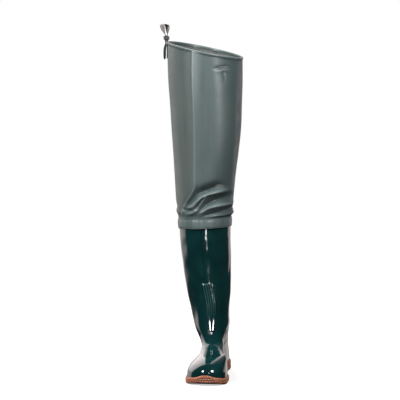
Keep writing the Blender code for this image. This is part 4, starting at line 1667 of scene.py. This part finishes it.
@dataclass
class HipStrap:
    """Webbing at the outer hip: the belt loop, the free tail and the sewing of the loop to the leg."""

    leg: Leg
    width: float = 25.0
    wall: float = 1.5
    columns: int = 27
    rows: int = 170
    loop_twist: float = 34.0
    loop_twist_fade: Ramp = Ramp(50.0, 30.0)
    tail_twist: float = 22.0
    tail_twist_fade: float = 25.0
    tail_round: float = 11.0
    tail_end_share: float = 0.05
    edge_round: float = 0.10
    edge_wall: float = 0.04
    selvedge: Ramp = Ramp(0.78, 0.1)
    middle_share: float = 0.94
    selvedge_share: float = 0.10
    # Sewing of the loop's foot
    sewn_out: float = 2.35
    box_half: float = 9.0
    box_low: float = -39.0
    box_high: float = -17.0
    stitch_length: float = 3.0
    stitch_gap: float = 1.2
    stitch_width: float = 0.9
    stitch_rows: int = 7
    stitch_columns: int = 8
    stitch_taper: float = 1.9
    stitch_end_share: float = 0.08
    stitch_flatness: float = 0.35
    stitch_arch: float = 0.12
    # Routes of the two lengths
    belt_loop: tuple[StrapPoint, ...] = (
        StrapPoint(2.35, -42.0),
        StrapPoint(2.35, -14.0),
        StrapPoint(3.40, -7.0),
        StrapPoint(3.40, 5.0),
        StrapPoint(3.40, 14.0),
        StrapPoint(2.60, 28.0),
        StrapPoint(3.60, 39.5),
        StrapPoint(8.00, 42.5),
        StrapPoint(13.5, 43.5),
        StrapPoint(16.5, 40.0),
        StrapPoint(14.0, 30.0),
        StrapPoint(9.50, 19.0),
        StrapPoint(7.50, 14.5),
        StrapPoint(7.50, 9.0),
    )
    tail: tuple[StrapPoint, ...] = (
        StrapPoint(7.5, 8.7),
        StrapPoint(7.5, 4.5),
        StrapPoint(8.2, -8.0),
        StrapPoint(9.9, -24.0),
        StrapPoint(9.8, -44.0),
    )

    def route(self, points: Sequence[StrapPoint]) -> tuple[Array, Array]:
        """Even steps along a smooth line through the strap's points, with the distance travelled.

        Args:
            points: the strap's own points.

        Returns:
            Points of the middle line of shape (rows, 3), and the distance along it.
        """
        places = np.array(points)
        knots = np.concatenate(([0.0], np.cumsum(np.linalg.norm(np.diff(places, axis=0), axis=1))))
        way = np.linspace(0.0, knots[-1], self.rows)
        out, up = (SmoothColumn(knots, places[:, column])(way) for column in (0, 1))
        edge = float(self.leg.mouth(OUTER_SIDE))
        foot = self.leg.ring(np.full_like(up, OUTER_SIDE), np.minimum(edge + up, edge), 0.0)
        return np.stack((foot[:, 0] - out, foot[:, 1], edge + up), axis=-1), way

    def build_webbing(
        self,
        name: str,
        node: str,
        slot: str,
        points: Sequence[StrapPoint],
        finish: bpy.types.Material,
        round_end: bool,
    ) -> None:
        """Make one length of webbing: a flat strip with thick rounded edges, along its route.

        Args:
            name: name of the piece.
            node: node that it replaces.
            slot: material slot.
            points: its route.
            finish: its material.
            round_end: whether its far end is cut round.
        """
        line, way = self.route(points)
        forward = np.gradient(line, axis=0)
        forward /= np.linalg.norm(forward, axis=1, keepdims=True)
        if round_end:
            twist = self.tail_twist * ease(way, 0.0, self.tail_twist_fade)
        else:
            twist = self.loop_twist * ease(line[:, 2] - line[:, 2].min(), *self.loop_twist_fade)
        angle = np.radians(twist)
        sideways = np.stack((-np.sin(angle), np.cos(angle), np.zeros_like(angle)), axis=-1)
        outward = np.cross(forward, sideways)
        outward /= np.linalg.norm(outward, axis=1, keepdims=True)
        share = np.linspace(-1.0, 1.0, self.columns)
        half = np.full(self.rows, self.width / 2.0)
        if round_end:
            half = half * np.maximum(round_off(way[-1] - way, self.tail_round), self.tail_end_share)
        across = half[:, None] * share[None, :]
        thick = self.wall / 2.0 * round_off(1.0 - np.abs(share), self.edge_round) + self.edge_wall
        thick = thick * (self.middle_share + self.selvedge_share * ease(np.abs(share), *self.selvedge))
        middle = line[:, None, :] + across[..., None] * sideways[:, None, :]
        rise = thick[None, :, None] * outward[:, None, :]
        skin = Skin(name)
        add_slab(skin, middle + rise, middle - rise, texture_grid(across, way[:, None]))
        skin.build(node, slot, [finish])

    def build_stitches(self, finish: bpy.types.Material) -> None:
        """Sew a box with a cross through the loop's foot: each stitch is a short fat thread."""
        low_left, low_right = (np.array((side * self.box_half, self.box_low)) for side in (-1.0, 1.0))
        top_left, top_right = (np.array((side * self.box_half, self.box_high)) for side in (-1.0, 1.0))
        outline = ((low_left, low_right), (low_right, top_right), (top_right, top_left), (top_left, low_left))
        starts, directions = [], []
        pitch = self.stitch_length + self.stitch_gap
        for begin, end in outline + ((low_left, top_right), (top_left, low_right)):
            run = np.linalg.norm(end - begin)
            count = int(run // pitch)
            places = (np.arange(count) + 0.5)[:, None] / count
            starts.append(mix(begin, end, places))
            directions.append(np.broadcast_to((end - begin) / run, (count, 2)))
        middle, direction = np.concatenate(starts), np.concatenate(directions)
        edge = float(self.leg.mouth(OUTER_SIDE))
        foot = self.leg.ring(np.full(len(middle), OUTER_SIDE), edge + middle[:, 1], 0.0)
        surface = foot[:, 0] - self.sewn_out - self.wall / 2.0
        centre = np.stack((surface, foot[:, 1] + middle[:, 0], edge + middle[:, 1]), axis=-1)
        forward = np.stack((np.zeros(len(middle)), direction[:, 0], direction[:, 1]), axis=-1)
        outward = np.array((-1.0, 0.0, 0.0))
        sideways = np.cross(forward, outward)

        length = np.linspace(-0.5, 0.5, self.stitch_rows)[:, None]
        around = ring_angles(self.stitch_columns)[None, :]
        taper = np.clip(1.0 - (self.stitch_taper * length) ** 4, self.stitch_end_share, 1.0)
        girth = self.stitch_width / 2.0 * np.sqrt(taper)
        rise = self.stitch_flatness * girth * np.sin(around) + self.stitch_arch * np.cos(math.pi * length)
        shape = (
            (self.stitch_length * length)[None, ..., None] * forward[:, None, None, :]
            + (girth * np.cos(around))[None, ..., None] * sideways[:, None, None, :]
            + rise[None, ..., None] * outward
        )
        skin = Skin("strap_stitches")
        numbers = skin.add_points(centre[:, None, None, :] + shape)
        closed = np.concatenate((numbers, numbers[:, :, :1]), axis=2)
        quads = np.concatenate([corners_of(thread).reshape(-1, 4) for thread in closed])
        skin.add_faces(quads[:, ::-1])
        skin.add_faces(numbers[:, 0, :])
        skin.add_faces(numbers[:, -1, ::-1])
        skin.build("", "grey_webbing", [finish])


class SoftBox(NamedTuple):
    """A lamp in front of the wader: place about the camera's direction, size, power and what it shows in."""

    name: str
    turn: float
    rise: float
    width: float
    height: float
    power: float
    in_gloss: bool
    in_colour: bool


@dataclass
class Studio:
    """White surround, pale floor, soft lamps in front, and the camera."""

    camera_turn: float = 7.5
    camera_distance: float = 4.4
    camera_height: float = 0.75
    focal_pixels: float = 1746.5
    frame_pixels: float = 400.0
    sensor: float = 36.0
    aim: Triple = (-0.034, -0.060, 0.433)
    # Floor
    floor_reach: float = 1.6
    floor_colour: Colour = (0.55, 0.55, 0.545)
    floor_glow: float = 0.55
    # Surround, and how it fades with the direction
    surround_colour: Colour = (1.0, 0.91, 0.89)
    surround_strength: float = 1.95
    dim_strength: float = 0.02
    narrowing: Fade = Fade(-0.09, 0.03, 0.62, 0.15)
    beside: Fade = Fade(-0.36, -0.18, 1.0, 0.0)
    inner_raise: float = 0.09
    above_floor: Fade = Fade(-0.24, -0.11, 0.0, 1.0)
    low_shade: Fade = Fade(0.02, 0.25, 0.45, 0.0)
    behind_shade: Fade = Fade(-1.0, -0.40, 0.5, 0.0)
    behind_top: Fade = Fade(0.05, 0.30, 1.0, 0.0)
    inner_shade: Fade = Fade(0.05, 0.35, 0.0, 0.95)
    inner_foot: Fade = Fade(0.0, 0.20, 0.0, 1.0)
    # Card and lamps
    card_colour: Colour = (0.004, 0.02, 0.02)
    card_corners: tuple[Triple, Triple] = ((0.20, -0.10, 0.085), (0.20, 0.90, 0.225))
    lamp_distance: float = 3.0
    lamps: tuple[SoftBox, ...] = (
        SoftBox("soft_box_outer", -48.0, 41.0, 1.10, 1.35, 122.0, False, True),
        SoftBox("soft_box_inner", 48.0, 41.0, 1.10, 1.35, 80.0, False, True),
        SoftBox("strip_box_outer", -33.0, 18.0, 0.60, 1.10, 60.0, True, False),
        SoftBox("strip_box_inner", 33.0, 18.0, 0.60, 1.10, 60.0, True, False),
        SoftBox("low_box", 8.5, -6.2, 0.34, 0.22, 2.4, True, False),
    )

    def toward_camera(self, turn: float = 0.0, rise: float = 0.0) -> Vector:
        """Level direction from the leg to the camera, turned to the inner side and raised by degrees."""
        level, up = math.radians(self.camera_turn + turn), math.radians(rise)
        return Vector((math.sin(level) * math.cos(up), -math.cos(level) * math.cos(up), math.sin(up)))

    def build_world(self) -> None:
        """White where the camera looks; for light and reflections a white surround with darker parts.

        The surround is bright beside and behind the wader, and fades out in front of it, below it and above
        its inner side.  Straight behind and low down it is half as bright.
        """
        world = bpy.data.worlds.new("studio_surround")
        world.use_nodes = True
        bpy.context.scene.world = world
        graph = Graph("", world.node_tree)
        place = graph.places["Generated"]
        facing, side = (graph.dot(place, self.toward_camera(turn)) for turn in (0.0, 90.0))
        up = graph.axis(place, "Z")
        inner_side = graph.math("MAXIMUM", side, 0.0)
        narrowed = graph.math("MULTIPLY_ADD", inner_side, graph.rescale(up, *self.narrowing), facing)
        raised = graph.math("MULTIPLY_ADD", inner_side, self.inner_raise, up)
        beside, above_floor = graph.rescale(narrowed, *self.beside), graph.rescale(raised, *self.above_floor)
        low = graph.rescale(up, *self.low_shade)
        behind, behind_top = graph.rescale(facing, *self.behind_shade), graph.rescale(up, *self.behind_top)
        behind = graph.math("MULTIPLY", behind, behind_top)
        inner, inner_foot = graph.rescale(side, *self.inner_shade), graph.rescale(up, *self.inner_foot)
        inner = graph.math("MULTIPLY", inner, inner_foot)
        share = graph.math("MULTIPLY", beside, above_floor)
        for shade in (low, behind, inner):
            share = graph.math("MULTIPLY", share, graph.math("SUBTRACT", 1.0, shade))
        strength = graph.math("MULTIPLY_ADD", share, self.surround_strength, self.dim_strength)
        bright = {"Color": (*self.surround_colour, 1.0), "Strength": strength}
        lit = graph.node("ShaderNodeBackground", bright)
        plain = graph.node("ShaderNodeBackground", {"Color": (1.0, 1.0, 1.0, 1.0)})
        seen = graph.tree.nodes.new("ShaderNodeLightPath").outputs["Is Camera Ray"]
        choice = graph.node("ShaderNodeMixShader", {0: seen, 1: lit.outputs[0], 2: plain.outputs[0]})
        graph.feed(graph.tree.nodes["World Output"].inputs["Surface"], choice.outputs[0])

    def add_panel(
        self, name: str, corners: Sequence[Triple], material: bpy.types.Material
    ) -> bpy.types.Object:
        """Add a flat panel of four corners to the stage.

        Args:
            name: name of the panel.
            corners: its corners in metres, in order.
            material: what it shows.

        Returns:
            The new object.
        """
        mesh = bpy.data.meshes.new(name)
        mesh.from_pydata(corners, [], [(0, 1, 2, 3)])
        mesh.materials.append(material)
        panel = bpy.data.objects.new(name, mesh)
        link(panel)
        return panel

    def build_floor(self) -> None:
        """Lay a plain white floor round the sole, lit from below as a light table is."""
        pale = (*self.floor_colour, 1.0)
        material = Graph("studio_floor_look").finish(
            Base_Color=pale, Roughness=0.8, Specular_IOR_Level=0.1,
            Emission_Color=pale, Emission_Strength=self.floor_glow / self.floor_colour[0],
        )
        reach = self.floor_reach
        corners = [(-reach, -reach, 0.0), (reach, -reach, 0.0), (reach, reach, 0.0), (-reach, reach, 0.0)]
        floor = self.add_panel("studio_floor", corners, material)
        floor.visible_glossy = floor.visible_diffuse = False

    def build_card(self) -> None:
        """Hang a dark card on the inner side that only the gloss of the boot sees."""
        (x, near, low), (_, far, high) = self.card_corners
        corners = [(x, near, low), (x, far, low), (x, far, high), (x, near, high)]
        material = Graph("studio_card_look").finish(Base_Color=(*self.card_colour, 1.0), Roughness=1.0)
        card = self.add_panel("studio_card", corners, material)
        card.visible_camera = card.visible_diffuse = card.visible_shadow = False

    def build_lamps(self) -> None:
        """Hang the soft boxes in front, to both sides of the camera, aimed at the knee."""
        target = Vector(self.aim)
        for box in self.lamps:
            light = bpy.data.lights.new(box.name, "AREA")
            light.shape = "RECTANGLE"
            light.size, light.size_y = box.width, box.height
            light.energy = box.power
            lamp = bpy.data.objects.new(light.name, light)
            lamp.visible_glossy, lamp.visible_diffuse = box.in_gloss, box.in_colour
            lamp.location = target + self.toward_camera(box.turn, box.rise) * self.lamp_distance
            lamp.rotation_euler = (target - lamp.location).to_track_quat("-Z", "Y").to_euler()
            link(lamp)

    def build_camera(self) -> None:
        """Stand the camera where the photograph was taken from and aim it at the middle of the wader."""
        data = bpy.data.cameras.new("camera")
        data.sensor_width = self.sensor
        data.lens = self.focal_pixels / self.frame_pixels * self.sensor
        camera = bpy.data.objects.new("camera", data)
        camera.location = self.toward_camera() * self.camera_distance
        camera.location.z = self.camera_height
        camera.rotation_euler = (Vector(self.aim) - camera.location).to_track_quat("-Z", "Y").to_euler()
        link(camera)
        bpy.context.scene.camera = camera
        bpy.context.scene.view_settings.view_transform = "Standard"

    def build(self) -> None:
        """Set up everything that isn't the wader."""
        self.build_world()
        self.build_floor()
        self.build_card()
        self.build_lamps()
        self.build_camera()


def dress_node(node: str, finish: bpy.types.Material) -> None:
    """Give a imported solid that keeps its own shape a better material."""
    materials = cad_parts[node].data.materials
    materials.clear()
    materials.append(finish)
    LOG.info("%s: kept as packed", node)


def main() -> None:
    """Build the wader from sole to strap, then the studio."""
    logging.basicConfig(level=logging.INFO, format="%(name)s: %(message)s")
    last, leg = Last(), Leg()
    gum, boot_green = GumRubber().material(), GlossyBoot().material()
    fabric, lining = CoatedFabric().material(), WovenLining().material()
    grey = Webbing("grey_webbing_look", (0.235, 0.212, 0.210), (0.110, 0.098, 0.098)).material()
    black = Webbing("black_webbing_look", (0.011, 0.012, 0.011), (0.004, 0.004, 0.004), 0.0).material()

    Outsole(last).build(gum)
    dress_node("insole", SockFelt().material())
    boot = Boot(last, leg)
    boot.build_upper(boot_green, lining)
    boot.build_patch(boot_green)
    thigh = ThighLeg(leg)
    thigh.build_shaft(fabric, lining)
    thigh.build_band(fabric)
    thigh.build_hem(fabric)
    strap = HipStrap(leg)
    strap.build_webbing("strap_belt_loop", "belt_loop", "grey_webbing", strap.belt_loop, grey, False)
    strap.build_webbing("strap_tail_webbing", "strap_tail", "black_webbing", strap.tail, black, True)
    strap.build_stitches(grey)
    dress_node("strap_slider", SliderPlastic().material())
    Studio().build()


if __name__ == "__main__":
    main()
